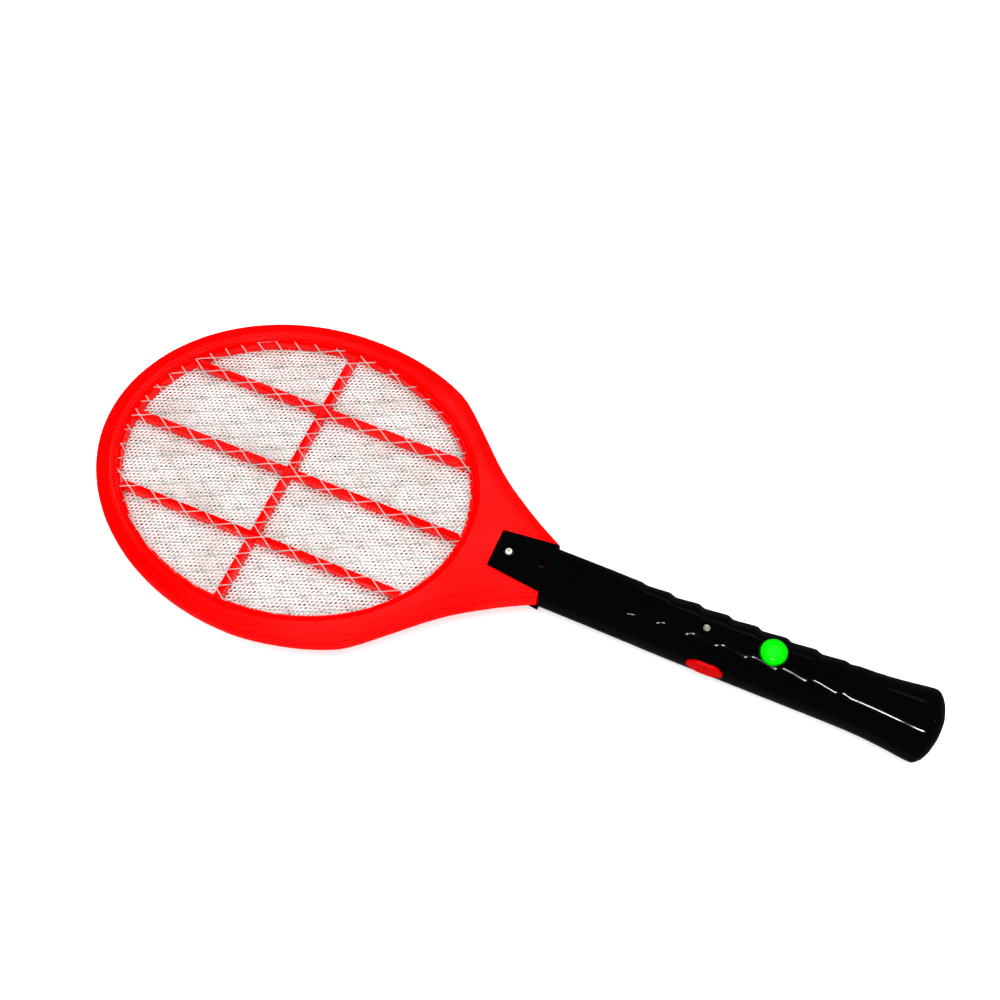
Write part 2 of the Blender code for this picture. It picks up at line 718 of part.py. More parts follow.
def screw(name, material):
    """A pan-head screw with a cross recess."""
    x, top, recess, end = SCREWS[name]
    r = SCREW_RADIUS
    seat = top - SCREW_HEAD_HEIGHT
    profile = ((0.3, end), (r, end + 2.0), (r, seat), (SCREW_HEAD_RADIUS, seat),
               (SCREW_HEAD_RADIUS, top - 0.5), (SCREW_HEAD_RADIUS - 0.6, top - 0.05),
               (0.5, top))
    thing = add_object(name, turned_mesh(x, 0, profile, 20), material)
    for i, (a, b) in enumerate(((1.3, 0.25), (0.25, 1.3))):
        cut(thing, box_tool(f"{name}_slot_{i + 1}", x - a, x + a, -b, b, top - 0.7, top + 1))
    return thing


# ---------------------------------------------------------------- inside the handle

def circuit_board(material):
    """The board, with a hole for the grip screw and a notch beside the side button."""
    start, end, half, low, high = BOARD
    board = add_object("circuit_board", box_mesh(start, end, -half, half, low, high), material)
    cut(board, post_tool("board_screw_hole", SCREWS["grip_screw"][0], 0, 2.0, 0, 8))
    cut(board, box_tool("board_notch", SIDE_BUTTON_X - 12.5, SIDE_BUTTON_X + 12.5, -15, -8.2,
                        0, 8))
    return board


def transformer(core_material, coil_material):
    """The step-up transformer under the board: a two-window core and its winding."""
    x, top = 176.0, BOARD[3] - GAP
    core = add_object("transformer_core", box_mesh(x - 8, x + 8, -2.5, 2.5, top - 12, top),
                      core_material)
    for i, start in enumerate((x - 5.2, x + 2.0)):
        cut(core, box_tool(f"core_window_{i + 1}", start, start + 3.2, -4, 4, top - 9.5,
                           top - 2.5))
    coil = add_object("transformer_coil", box_mesh(x - 4.9, x + 4.9, -5.6, 5.6, top - 9.2,
                                                   top - 2.8), coil_material)
    cut(coil, box_tool("coil_window", x - 2.3, x + 2.3, -2.8, 2.8, top - 12, top))


def board_parts(materials):
    """The small parts on top of the board."""
    top = BOARD[4] + 0.05
    add_object("storage_capacitor", box_mesh(188, 206, -3.5, 3.5, top, top + 7.5),
               materials["film"])
    for i, x in enumerate((160.0, 167.0)):
        disc = long_turned_mesh(0.0, top + 3.2, ((2.2, x - 1.4), (3.1, x - 0.8), (3.1, x + 0.8),
                                                 (2.2, x + 1.4)), 18)
        add_object(f"multiplier_capacitor_{i + 1}", disc, materials["ceramic"])
    for i, x in enumerate((174.0, 178.5, 183.0)):
        body = side_turned_mesh(x, top + 1.3, ((0.35, -4.2), (0.35, -2.4), (1.25, -2.2),
                                               (1.25, 2.2), (0.35, 2.4), (0.35, 4.2)), 12)
        add_object(f"rectifier_diode_{i + 1}", body, materials["epoxy"])
    bm = turned_mesh(211.0, 7.0, ((2.3, top), (2.3, top + 4.4)), 16)
    body = add_object("drive_transistor", bm, materials["epoxy"])
    cut(body, box_tool("transistor_flat", 212.2, 215, 3, 11, top - 1, top + 6))


def batteries(materials):
    """Two cells in line, a coil contact at their front and a flat contact at their back."""
    z, r = CELL_HEIGHT, CELL_RADIUS
    for i in range(2):
        x = CELLS_START + i * (CELL_LENGTH + GAP)
        end = x + CELL_LENGTH
        profile = ((4.0, x), (r, x + 0.4), (r, end - 2.0), (2.8, end - 1.6), (2.6, end))
        add_object(f"battery_{i + 1}", long_turned_mesh(0, z, profile), materials["cell"])
    turns, steps = 2.5, 10
    points = []
    for i in range(int(turns * steps) + 1):
        angle = 2 * math.pi * i / steps
        reach = 4.4 - 0.9 * i / (turns * steps)
        points.append((CELLS_START - 4.4 + 3.5 * i / (turns * steps), reach * math.cos(angle),
                       z + reach * math.sin(angle)))
    tube("battery_spring", points, 0.4, materials["nickel"])
    start = CELLS_START + 2 * CELL_LENGTH + 2 * GAP
    add_object("battery_contact", box_mesh(start, start + 0.5, -4.5, 4.5, z - 4.5, z + 8.2),
               materials["nickel"])


def leads(materials):
    """The insulated wires from the nets and from the cells to the board."""
    start = OPENING_END
    front = [(start + 3.0, 4.5, NET_HEIGHT), (start + 7.0, 5.0, NET_HEIGHT), (112.0, 6.4, 4.0),
             (136.0, 6.0, 2.0), (146.0, 4.6, 1.2), (152.0, 4.6, 1.6), (156.0, 4.6, 2.4)]
    back = [(x, y, -z) for x, y, z in front[:5]] + [(152.0, 4.6, -0.4), (156.5, 5.8, 1.4),
                                                    (161.0, 6.4, 2.4)]
    centre = [(start + 0.4, 0.0, 0.0), (start + 5.0, -1.5, 0.0), (110.0, -5.8, 0.0),
              (138.0, -5.8, 0.0), (146.0, -4.6, 0.0), (152.0, -4.6, 0.8), (156.0, -4.6, 2.4)]
    tube("front_net_lead", front, 0.55, materials["red_wire"])
    tube("back_net_lead", back, 0.55, materials["red_wire"])
    tube("centre_net_lead", centre, 0.55, materials["white_wire"])
    z = CELL_HEIGHT
    start = CELLS_START + 2 * CELL_LENGTH + 2 * GAP
    plus = [(start - 1.0, 7.2, z + 7.4), (320.0, 8.6, z + 6.6), (285.0, 9.2, z + 5.8),
            (272.0, 8.6, z + 6.4), (268.0, 8.2, BOARD[3] - 0.8)]
    tube("battery_plus_lead", plus, 0.6, materials["red_wire"])
    minus = [(224.9, 4.4, z + 1.0), (224.4, 5.6, z + 3.0), (224.2, 6.2, z + 6.0),
             (224.2, 6.2, BOARD[3] - 0.9)]
    tube("battery_minus_lead", minus, 0.6, materials["black_wire"])


# ---------------------------------------------------------------- assembly

def make_materials():
    """Every material of the object."""
    return {
        "red": make_material("red_plastic", (0.62, 0.01, 0.01), 0.3),
        "black": make_material("black_plastic", (0.012, 0.012, 0.013), 0.22),
        "green": make_material("green_plastic", (0.01, 0.55, 0.03), 0.2),
        "aluminium": make_material("net_aluminium", (0.72, 0.73, 0.73), 0.35, 1.0),
        "steel": make_material("screw_steel", (0.62, 0.62, 0.6), 0.28, 1.0),
        "nickel": make_material("contact_nickel", (0.66, 0.64, 0.58), 0.3, 1.0),
        "board": make_material("board_laminate", (0.45, 0.27, 0.09), 0.55),
        "ferrite": make_material("core_ferrite", (0.05, 0.05, 0.055), 0.6),
        "tape": make_material("coil_tape", (0.75, 0.55, 0.08), 0.4),
        "film": make_material("film_capacitor_case", (0.42, 0.05, 0.03), 0.35),
        "ceramic": make_material("ceramic_disc", (0.08, 0.2, 0.5), 0.4),
        "epoxy": make_material("black_epoxy", (0.02, 0.02, 0.02), 0.45),
        "switch": make_material("switch_body", (0.03, 0.03, 0.03), 0.5),
        "plunger": make_material("switch_plunger_plastic", (0.7, 0.68, 0.6), 0.45),
        "cell": make_material("cell_wrap", (0.08, 0.09, 0.12), 0.3),
        "red_wire": make_material("red_insulation", (0.6, 0.03, 0.02), 0.45),
        "white_wire": make_material("white_insulation", (0.8, 0.8, 0.78), 0.45),
        "black_wire": make_material("black_insulation", (0.02, 0.02, 0.02), 0.45),
    }


def main():
    """Build every piece of the swatter."""
    for thing in list(bpy.data.objects):
        bpy.data.objects.remove(thing)
    materials = make_materials()
    frame_half("front_frame", 1, materials["red"])
    frame_half("back_frame", -1, materials["red"])
    spacer_grid("front_spacer_grid", 1, materials["red"])
    spacer_grid("back_spacer_grid", -1, materials["red"])
    net("front_net", NET_HEIGHT, OUTER_NET_CELL, materials["aluminium"])
    net("centre_net", 0.0, CENTRE_NET_CELL, materials["aluminium"])
    net("back_net", -NET_HEIGHT, OUTER_NET_CELL, materials["aluminium"])
    front_shell(materials["black"])
    back_shell(materials["black"])
    battery_door(materials["black"])
    push_button(materials["green"])
    side_button(materials["red"])
    press_switches(materials["switch"], materials["plunger"])
    for name in SCREWS:
        screw(name, materials["steel"])
    circuit_board(materials["board"])
    transformer(materials["ferrite"], materials["tape"])
    board_parts(materials)
    batteries(materials)
    leads(materials)


main()
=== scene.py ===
"""Finish, light and view for the electric fly swatter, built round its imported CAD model.

Lengths in the tables are millimetres: along the handle from the centre of the head, across it
from the centre line, and in height from the parting plane. place() turns them into metres in
the row frame.
"""
import json
import math
from collections import namedtuple

import bmesh
import bpy
from mathutils import Matrix, Vector, noise


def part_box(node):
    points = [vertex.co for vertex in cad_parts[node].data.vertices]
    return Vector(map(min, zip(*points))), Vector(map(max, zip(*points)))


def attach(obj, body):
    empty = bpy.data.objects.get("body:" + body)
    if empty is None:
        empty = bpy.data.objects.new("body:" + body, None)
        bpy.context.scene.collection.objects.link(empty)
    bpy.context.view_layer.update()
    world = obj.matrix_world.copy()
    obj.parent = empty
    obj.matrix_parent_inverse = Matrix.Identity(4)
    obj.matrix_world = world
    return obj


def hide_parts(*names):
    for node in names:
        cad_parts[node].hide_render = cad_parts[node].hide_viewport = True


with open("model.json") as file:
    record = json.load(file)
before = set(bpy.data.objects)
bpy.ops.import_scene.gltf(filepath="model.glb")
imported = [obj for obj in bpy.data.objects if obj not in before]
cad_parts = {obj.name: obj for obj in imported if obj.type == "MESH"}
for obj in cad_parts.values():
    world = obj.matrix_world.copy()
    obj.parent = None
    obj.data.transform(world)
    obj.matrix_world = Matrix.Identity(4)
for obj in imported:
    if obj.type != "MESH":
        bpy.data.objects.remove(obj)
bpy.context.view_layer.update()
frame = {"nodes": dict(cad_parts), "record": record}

MM = 0.001
HEAD_CENTRE_X = -113.1
PARTING_HEIGHT = 16.0
GAP = 0.3

# Head
HEAD_HALF = (109.7, 89.6)
OPENING_CENTRE_X = -3.3
OPENING_HALF = (94.7, 78.0)
OPENING_END = OPENING_CENTRE_X + OPENING_HALF[0]
HEAD_SWELL = 0.013
HEAD_SWELL_LENGTH = 60.0
THROAT_END = (138.7, 16.0)
THROAT = ((60.0, 75.85), (67.5, 70.0), (75.0, 63.0), (84.0, 54.4), (93.0, 45.9),
          (103.0, 37.7), (114.0, 30.2), (125.0, 23.4), (133.0, 19.0), THROAT_END)
HEAD_STEPS = 96
THROAT_STEPS = 6
END_STEPS = 10
TURN_POWER = 1.25
INSIDE_END_INSET = 2.0

# Rim sections, from the parting plane over the crown to the opening and back inside. Rows
# outside the opening give the distance in from the outline, the height, and how much further in
# they lie at the throat; rows at the opening give the distance out from it, and the height
FRONT_OUTSIDE = (
    (0.25, 0.15, 0.0), (0.0, 0.4, 0.0), (0.0, 3.9, 0.0), (0.3, 4.1, 0.0), (0.34, 6.5, 0.0),
    (0.68, 6.74, 0.0), (0.76, 8.3, 0.0), (1.0, 8.7, 0.0), (1.4, 8.98, 0.0), (2.3, 9.2, 0.0),
    (2.64, 9.45, 0.0), (3.7, 9.72, 0.0), (4.02, 9.95, 0.0), (5.2, 10.22, 0.0),
    (5.5, 10.44, 0.0), (6.3, 10.62, 0.0))
BACK_OUTSIDE = (
    (0.25, 0.15, 0.0), (0.02, 0.4, 0.0), (0.1, 1.2, 0.3), (0.4, 3.8, 1.55), (0.62, 3.95, 1.6),
    (1.1, 6.5, 3.0), (1.35, 6.7, 3.1), (2.3, 8.85, 3.6), (2.5, 9.05, 3.6), (3.9, 10.2, 3.6),
    (4.6, 10.55, 3.6), (6.3, 10.75, 2.0))
RIM_OPENING = (
    (4.3, 10.76), (3.7, 10.76), (3.55, 10.7), (3.42, 10.48), (2.2, 10.2), (2.05, 10.12),
    (1.92, 9.86), (0.9, 9.4), (0.45, 9.06), (0.12, 8.6), (0.0, 8.1), (0.0, 1.8), (1.8, 1.8),
    (2.4, 8.0))
FRONT_INSIDE = ((3.9, 8.0, 0.0), (2.4, 5.8, 0.0), (2.0, 0.15, 0.0))
BACK_INSIDE = ((5.0, 8.0, 3.6), (3.2, 5.9, 3.0), (2.0, 0.15, 0.0))

# Grids between the nets
GRID_TOP = 6.4
GRID_BOTTOM = 0.52
RIB_HALF = 1.8
RIB_SPACING = 40.0
CROSS_RIB_X = -6.6

# Nets: height of the middle, the two steps from cell to cell, a node's place, strand width,
# thickness, half the length of a cut end, how far strands lean, and how uneven the nodes are
NetShape = namedtuple("NetShape", "level steps origin strand thickness flat lean wobble")
NET_TURN = -2.7
COARSE_STEPS = ((8.38, 4.78), (8.62, -4.78))
FINE_STEPS = ((0.75, 2.2), (2.18, 0.8))
NET_COUNT = 120
NET_SIDES = 72

# Handle: distance, half width, height of the facet edge, facet share, crown
HANDLE = ((139.6, 14.7, 13.5, 0.68, 0.25), (165.0, 14.7, 13.7, 0.66, 0.4),
          (184.0, 14.8, 14.2, 0.54, 0.8), (205.0, 15.0, 14.8, 0.42, 1.2),
          (250.0, 15.05, 14.9, 0.4, 1.2), (298.0, 15.1, 14.95, 0.38, 1.2),
          (309.0, 15.7, 15.2, 0.37, 1.25), (319.0, 16.8, 15.8, 0.35, 1.3),
          (328.5, 18.2, 16.6, 0.33, 1.4), (332.8, 18.5, 16.7, 0.33, 1.4),
          (334.4, 18.0, 16.2, 0.34, 1.3), (336.4, 15.9, 14.5, 0.36, 1.2),
          (338.3, 12.6, 12.0, 0.38, 1.0), (339.8, 7.6, 8.4, 0.4, 0.7))
HANDLE_START = HANDLE[0][0]
HANDLE_END = HANDLE[-1][0]
POMMEL_TURN = 334.0
HANDLE_FRONT = 139.2
BACK_FLAT = 16.0
WALL = 2.3
INSIDE_STATIONS = (HANDLE_START, 184.0, 205.0, 250.0, 298.0, 319.0, 336.4)
INSIDE_END = 332.6
WAVE_TIP = 198.5
WAVE_PITCH = 15.02
WAVE_COUNT = 7
WAVE_DEPTH = 1.5
TONGUE_START = 110.0
TONGUE_BASE = 11.2
TONGUE_TOP = 13.4
SECTION_POINTS = 61

# Push button: distance, radius, top
PUSH_BUTTON = (254.9, 6.5, 19.0)
SIDE_BUTTON_X = 227.0
SIDE_BUTTON_HALF = (9.4, 5.5)
SIDE_BUTTON_FACE = 15.7

# Screws: distance, top of the head, recess radius, lower end
SCREWS = {"tongue_screw": (117.3, 13.7, 2.3, -11.8),
          "throat_screw": (134.9, 7.4, 2.4, -11.8),
          "grip_screw": (221.3, 14.4, 2.6, -7.5)}
SCREW_RADIUS = 1.3
SCREW_HEAD = (2.1, 1.4)
SHOWN_HEAD_SHARE = 0.84
TONGUE_HOLE_TOP = 13.5
GRIP_HOLE_TOP = 16.0

# Battery door
DOOR_START = 232.0
DOOR_HALF = 7.9
DOOR_FLANGE_HALF = 9.0

# Cells
CELL_START = 230.0
CELL_LENGTH = 50.2
COPPER_START = 35.2

# View: azimuth and elevation in degrees, lens, and place in metres
VIEW_ANGLES = (23.4, 62.6)
VIEW_LENS = 50.2
VIEW_PLACE = (0.11784, -0.27365, 0.65572)


# ---------------------------------------------------------------- helpers

def place(x, y, z):
    """Point in the row frame, in metres, for a design point in millimetres."""
    return Vector((HEAD_CENTRE_X + x, y, PARTING_HEIGHT + z)) * MM


def mesh_object(name, bm):
    """An object made of the mesh in bm, which is freed."""
    bmesh.ops.recalc_face_normals(bm, faces=bm.faces)
    mesh = bpy.data.meshes.new(name)
    bm.to_mesh(mesh)
    bm.free()
    thing = bpy.data.objects.new(name, mesh)
    bpy.context.scene.collection.objects.link(thing)
    return thing


def boolean(thing, bm, operation="DIFFERENCE"):
    """Change thing's mesh by the shape in bm."""
    tool = mesh_object("tool", bm)
    modifier = thing.modifiers.new("shape", "BOOLEAN")
    modifier.operation = operation
    modifier.solver = "EXACT"
    modifier.object = tool
    apply_modifiers(thing)
    bpy.data.objects.remove(tool)


def apply_modifiers(thing):
    """Replace thing's mesh by what its modifiers make of it."""
    graph = bpy.context.evaluated_depsgraph_get()
    result = bpy.data.meshes.new_from_object(thing.evaluated_get(graph))
    thing.modifiers.clear()
    old = thing.data
    thing.data = result
    bpy.data.meshes.remove(old)
    clean = bmesh.new()
    clean.from_mesh(result)
    bmesh.ops.remove_doubles(clean, verts=clean.verts, dist=0.000002)
    bmesh.ops.dissolve_degenerate(clean, edges=clean.edges, dist=0.000002)
    clean.to_mesh(result)
    clean.free()


def bevel(thing, width, segments=2, angle=35.0):
    """Round the sharp edges of thing by a width in millimetres."""
    modifier = thing.modifiers.new("edges", "BEVEL")
    modifier.width = width * MM
    modifier.segments = segments
    modifier.limit_method = "ANGLE"
    modifier.angle_limit = math.radians(angle)
    apply_modifiers(thing)


def shade(thing, angle=32.0):
    """Smooth shading, with the edges sharper than an angle kept crisp."""
    bm = bmesh.new()
    bm.from_mesh(thing.data)
    limit = math.radians(angle)
    for face in bm.faces:
        face.smooth = True
    for edge in bm.edges:
        edge.smooth = len(edge.link_faces) == 2 and edge.calc_face_angle(0) < limit
    bm.to_mesh(thing.data)
    bm.free()


def finish_piece(thing, material, body, nodes, angle=32.0):
    """Shade a piece, give it its material and tie it to its body and CAD nodes."""
    shade(thing, angle)
    thing.data.materials.clear()
    thing.data.materials.append(material)
    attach(thing, body)
    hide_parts(*nodes)
    return thing


def loft(loops, closed=False, caps=True, ring=True):
    """A skin through loops of points; closed joins the last loop to the first."""
    bm = bmesh.new()
    rows = [[bm.verts.new(point) for point in loop] for loop in loops]
    pairs = list(zip(rows, rows[1:]))
    if closed:
        pairs.append((rows[-1], rows[0]))
    count = len(rows[0])
    for row, following in pairs:
        for i in range(count if ring else count - 1):
            j = (i + 1) % count
            bm.faces.new((row[i], row[j], following[j], following[i]))
    if caps and not closed:
        bm.faces.new(rows[0])
        bm.faces.new(rows[-1])
    return bm


def box(x0, x1, y0, y1, z0, z1):
    """A box between two corners, as a mesh."""
    loops = [[place(x, y0, z0), place(x, y1, z0), place(x, y1, z1), place(x, y0, z1)]
             for x in (x0, x1)]
    return loft(loops)


def turned(x, y, profile, count=64):
    """A solid turned about a vertical axis, from (radius, height) pairs."""
    turns = [2 * math.pi * (i + 0.5) / count for i in range(count)]
    return loft([[place(x + r * math.cos(t), y + r * math.sin(t), z) for t in turns]
                 for r, z in profile])


def post(x, y, radius, z0, z1, count=48):
    """An upright cylinder, as a mesh."""
    return turned(x, y, ((radius, z0), (radius, z1)), count)


def oval_loop(half, y, count=96):
    """An oval outline about the side button's axis, at a distance across."""
    turns = [2 * math.pi * (i + 0.5) / count for i in range(count)]
    return [place(SIDE_BUTTON_X + half[0] * math.cos(t), y, half[1] * math.sin(t))
            for t in turns]


def grow(half, distance):
    """Half sizes made larger all round."""
    return (half[0] + distance, half[1] + distance)


def hermite(stations, x):
    """Smooth interpolation of the numbers in stations, whose first number is x."""
    last = len(stations) - 1
    if x >= stations[last][0]:
        return list(stations[last][1:])
    k = 0
    while k < last - 1 and x > stations[k + 1][0]:
        k += 1
    low, high = stations[k], stations[k + 1]
    before, after = stations[max(k - 1, 0)], stations[min(k + 2, last)]
    width = high[0] - low[0]
    t = max(0.0, (x - low[0]) / width)
    values = []
    for a, p, q, b in zip(before[1:], low[1:], high[1:], after[1:]):
        slope_p = (q - a) / (high[0] - before[0]) * width
        slope_q = (b - p) / (after[0] - low[0]) * width
        values.append((2 * t ** 3 - 3 * t ** 2 + 1) * p + (t ** 3 - 2 * t ** 2 + t) * slope_p
                      + (3 * t ** 2 - 2 * t ** 3) * q + (t ** 3 - t ** 2) * slope_q)
    return values


def curve_through(points, steps):
    """A smooth curve through 2-D points, with steps pieces between each pair."""
    lengths = [0.0]
    for p, q in zip(points, points[1:]):
        lengths.append(lengths[-1] + math.dist(p, q))
    stations = [(s, *p) for s, p in zip(lengths, points)]
    found = []
    for s, t in zip(lengths, lengths[1:]):
        found += [tuple(hermite(stations, s + (t - s) * i / steps)) for i in range(steps)]
    return found + [tuple(points[-1])]


# ---------------------------------------------------------------- materials

class Nodes:
    """A material's node tree, with short ways to add what every finish here uses."""

    def __init__(self, name, roughness, metallic=0.0):
        """A new material with one principled shader."""
        self.material = bpy.data.materials.new(name)
        self.material.use_nodes = True
        self.tree = self.material.node_tree
        self.shader = self.tree.nodes["Principled BSDF"]
        self.shader.inputs["Roughness"].default_value = roughness
        self.shader.inputs["Metallic"].default_value = metallic
        self.place = self.add("ShaderNodeTexCoord").outputs["Object"]

    def add(self, kind, **values):
        """A node with its properties and inputs set from values."""
        node = self.tree.nodes.new(kind)
        for key, value in values.items():
            if key in node.inputs:
                node.inputs[key].default_value = value
            else:
                setattr(node, key, value)
        return node

    def link(self, output, target):
        """Join an output to an input."""
        self.tree.links.new(output, target)

    def noise(self, scale, detail=3.0, stretch=None):
        """Noise with scale features to the metre, stretched by three numbers if given."""
        node = self.add("ShaderNodeTexNoise", Scale=scale, Detail=detail)
        if stretch is None:
            self.link(self.place, node.inputs["Vector"])
        else:
            mapping = self.add("ShaderNodeMapping")
            mapping.inputs["Scale"].default_value = stretch
            self.link(self.place, mapping.inputs["Vector"])
            self.link(mapping.outputs["Vector"], node.inputs["Vector"])
        return node.outputs["Fac"]

    def ramp(self, source, low, high, to_low=0.0, to_high=1.0):
        """source spread from low..high to to_low..to_high."""
        node = self.add("ShaderNodeMapRange")
        node.inputs["From Min"].default_value = low
        node.inputs["From Max"].default_value = high
        node.inputs["To Min"].default_value = to_low
        node.inputs["To Max"].default_value = to_high
        self.link(source, node.inputs["Value"])
        return node.outputs["Result"]

    def mix(self, share, a, b):
        """Colour a where share is 0 and b where it is 1; each a colour or an output."""
        node = self.add("ShaderNodeMix", data_type="RGBA")
        self.link(share, node.inputs["Factor"])
        for value, socket in ((a, node.inputs[6]), (b, node.inputs[7])):
            if isinstance(value, tuple):
                socket.default_value = (*value, 1.0)
            else:
                self.link(value, socket)
        return node.outputs[2]

    def combine(self, a, b, operation="ADD"):
        """The sum of two numbers or outputs, or what another operation makes of them."""
        node = self.add("ShaderNodeMath", operation=operation)
        for value, socket in ((a, node.inputs[0]), (b, node.inputs[1])):
            if isinstance(value, (int, float)):
                socket.default_value = value
            else:
                self.link(value, socket)
        return node.outputs[0]

    def colour(self, output):
        """Use an output as the base colour."""
        self.link(output, self.shader.inputs["Base Color"])

    def rough(self, output):
        """Use an output as the roughness."""
        self.link(output, self.shader.inputs["Roughness"])

    def bump(self, *layers):
        """Bump layers, each (height output, depth in millimetres, strength)."""
        normal = None
        for height, depth, strength in layers:
            node = self.add("ShaderNodeBump", Distance=depth * MM, Strength=strength)
            self.link(height, node.inputs["Height"])
            if normal is not None:
                self.link(normal, node.inputs["Normal"])
            normal = node.outputs["Normal"]
        self.link(normal, self.shader.inputs["Normal"])


def moulded_plastic(name, colour, dark, light, roughness, gloss, wave=0.05, grain=0.02):
    """Glossy moulded plastic: flow marks, faint grain, fine scratches and paler edges."""
    m = Nodes(name, roughness)
    m.shader.inputs["Specular IOR Level"].default_value = gloss
    flow = m.ramp(m.noise(34.0, 3.0), 0.35, 0.65)
    base = m.mix(flow, dark, colour)
    speck = m.ramp(m.noise(1500.0, 2.0), 0.66, 0.74, 0.0, 0.35)
    base = m.mix(speck, base, dark)
    worn = m.ramp(m.add("ShaderNodeNewGeometry").outputs["Pointiness"], 0.54, 0.64, 0.0, 0.5)
    patchy = m.combine(worn, m.ramp(m.noise(260.0, 4.0), 0.42, 0.6), "MULTIPLY")
    m.colour(m.mix(patchy, base, light))
    scratch = m.ramp(m.noise(60.0, 5.0, (2.0, 24.0, 24.0)), 0.62, 0.72, 0.0, 0.04)
    crossed = m.ramp(m.noise(55.0, 5.0, (20.0, 3.0, 20.0)), 0.64, 0.74, 0.0, 0.03)
    haze = m.ramp(m.noise(22.0, 4.0), 0.4, 0.62, roughness - 0.03, roughness + 0.04)
    dull = m.combine(crossed, m.combine(patchy, 0.2, "MULTIPLY"))
    m.rough(m.combine(m.combine(haze, scratch), dull))
    m.bump((m.noise(70.0, 2.0), 0.1, wave), (m.noise(2600.0, 2.0), 0.02, grain * 10),
           (scratch, 0.005, 0.12))
    return m.material


def bare_metal(name, colour, dark, roughness, scale=900.0, metallic=1.0):
    """Bare metal with dull patches, drawn streaks and fine pits."""
    m = Nodes(name, roughness, metallic)
    dull = m.ramp(m.noise(scale / 9, 4.0), 0.4, 0.66)
    m.colour(m.mix(dull, colour, dark))
    m.rough(m.ramp(m.noise(scale, 3.0), 0.3, 0.7, roughness - 0.08, roughness + 0.12))
    m.bump((m.noise(scale * 3, 3.0), 0.02, 0.35))
    return m.material


def plain_finish(name, colour, roughness, scale=500.0, shift=0.25, metallic=0.0, depth=0.03):
    """A small part's coat: mottled colour and roughness with a fine uneven skin."""
    m = Nodes(name, roughness, metallic)
    dark = tuple(c * (1 - shift) for c in colour)
    m.colour(m.mix(m.ramp(m.noise(scale, 4.0), 0.35, 0.65), dark, colour))
    m.rough(m.ramp(m.noise(scale * 1.7, 3.0), 0.3, 0.7, max(0.05, roughness - 0.08),
                   min(1.0, roughness + 0.1)))
    m.bump((m.noise(scale * 4, 3.0), depth, 0.4))
    return m.material


def laminate():
    """Brown paper laminate with woven fibres."""
    m = Nodes("board_laminate", 0.55)
    fibre = m.ramp(m.noise(90.0, 5.0, (3.0, 22.0, 3.0)), 0.4, 0.62)
    across = m.ramp(m.noise(90.0, 5.0, (22.0, 3.0, 3.0)), 0.45, 0.65, 0.0, 0.6)
    base = m.mix(fibre, (0.34, 0.2, 0.07), (0.47, 0.29, 0.11))
    m.colour(m.mix(across, base, (0.4, 0.24, 0.085)))
    m.rough(m.ramp(fibre, 0.0, 1.0, 0.45, 0.62))
    m.bump((fibre, 0.02, 0.3))
    return m.material


def cell_wrap():
    """Printed wrap of a cell: a dark body and a copper band at the plus end, over steel."""
    m = Nodes("cell_wrap", 0.3)
    split = m.add("ShaderNodeSeparateXYZ")
    m.link(m.place, split.inputs["Vector"])
    along = m.combine(split.outputs["X"], -place(CELL_START, 0, 0).x)
    wrapped = m.combine(along, (CELL_LENGTH + GAP) * MM, "MODULO")
    band = m.ramp(wrapped, COPPER_START * MM, (COPPER_START + 0.2) * MM)
    tone = m.ramp(m.noise(300.0, 3.0), 0.35, 0.65)
    body = m.mix(tone, (0.02, 0.022, 0.028), (0.035, 0.037, 0.045))
    copper = m.mix(tone, (0.42, 0.19, 0.07), (0.55, 0.27, 0.11))
    m.colour(m.mix(band, body, copper))
    m.rough(m.ramp(m.noise(800.0, 3.0), 0.3, 0.7, 0.24, 0.38))
    m.bump((m.noise(1800.0, 2.0), 0.02, 0.2))
    return m.material


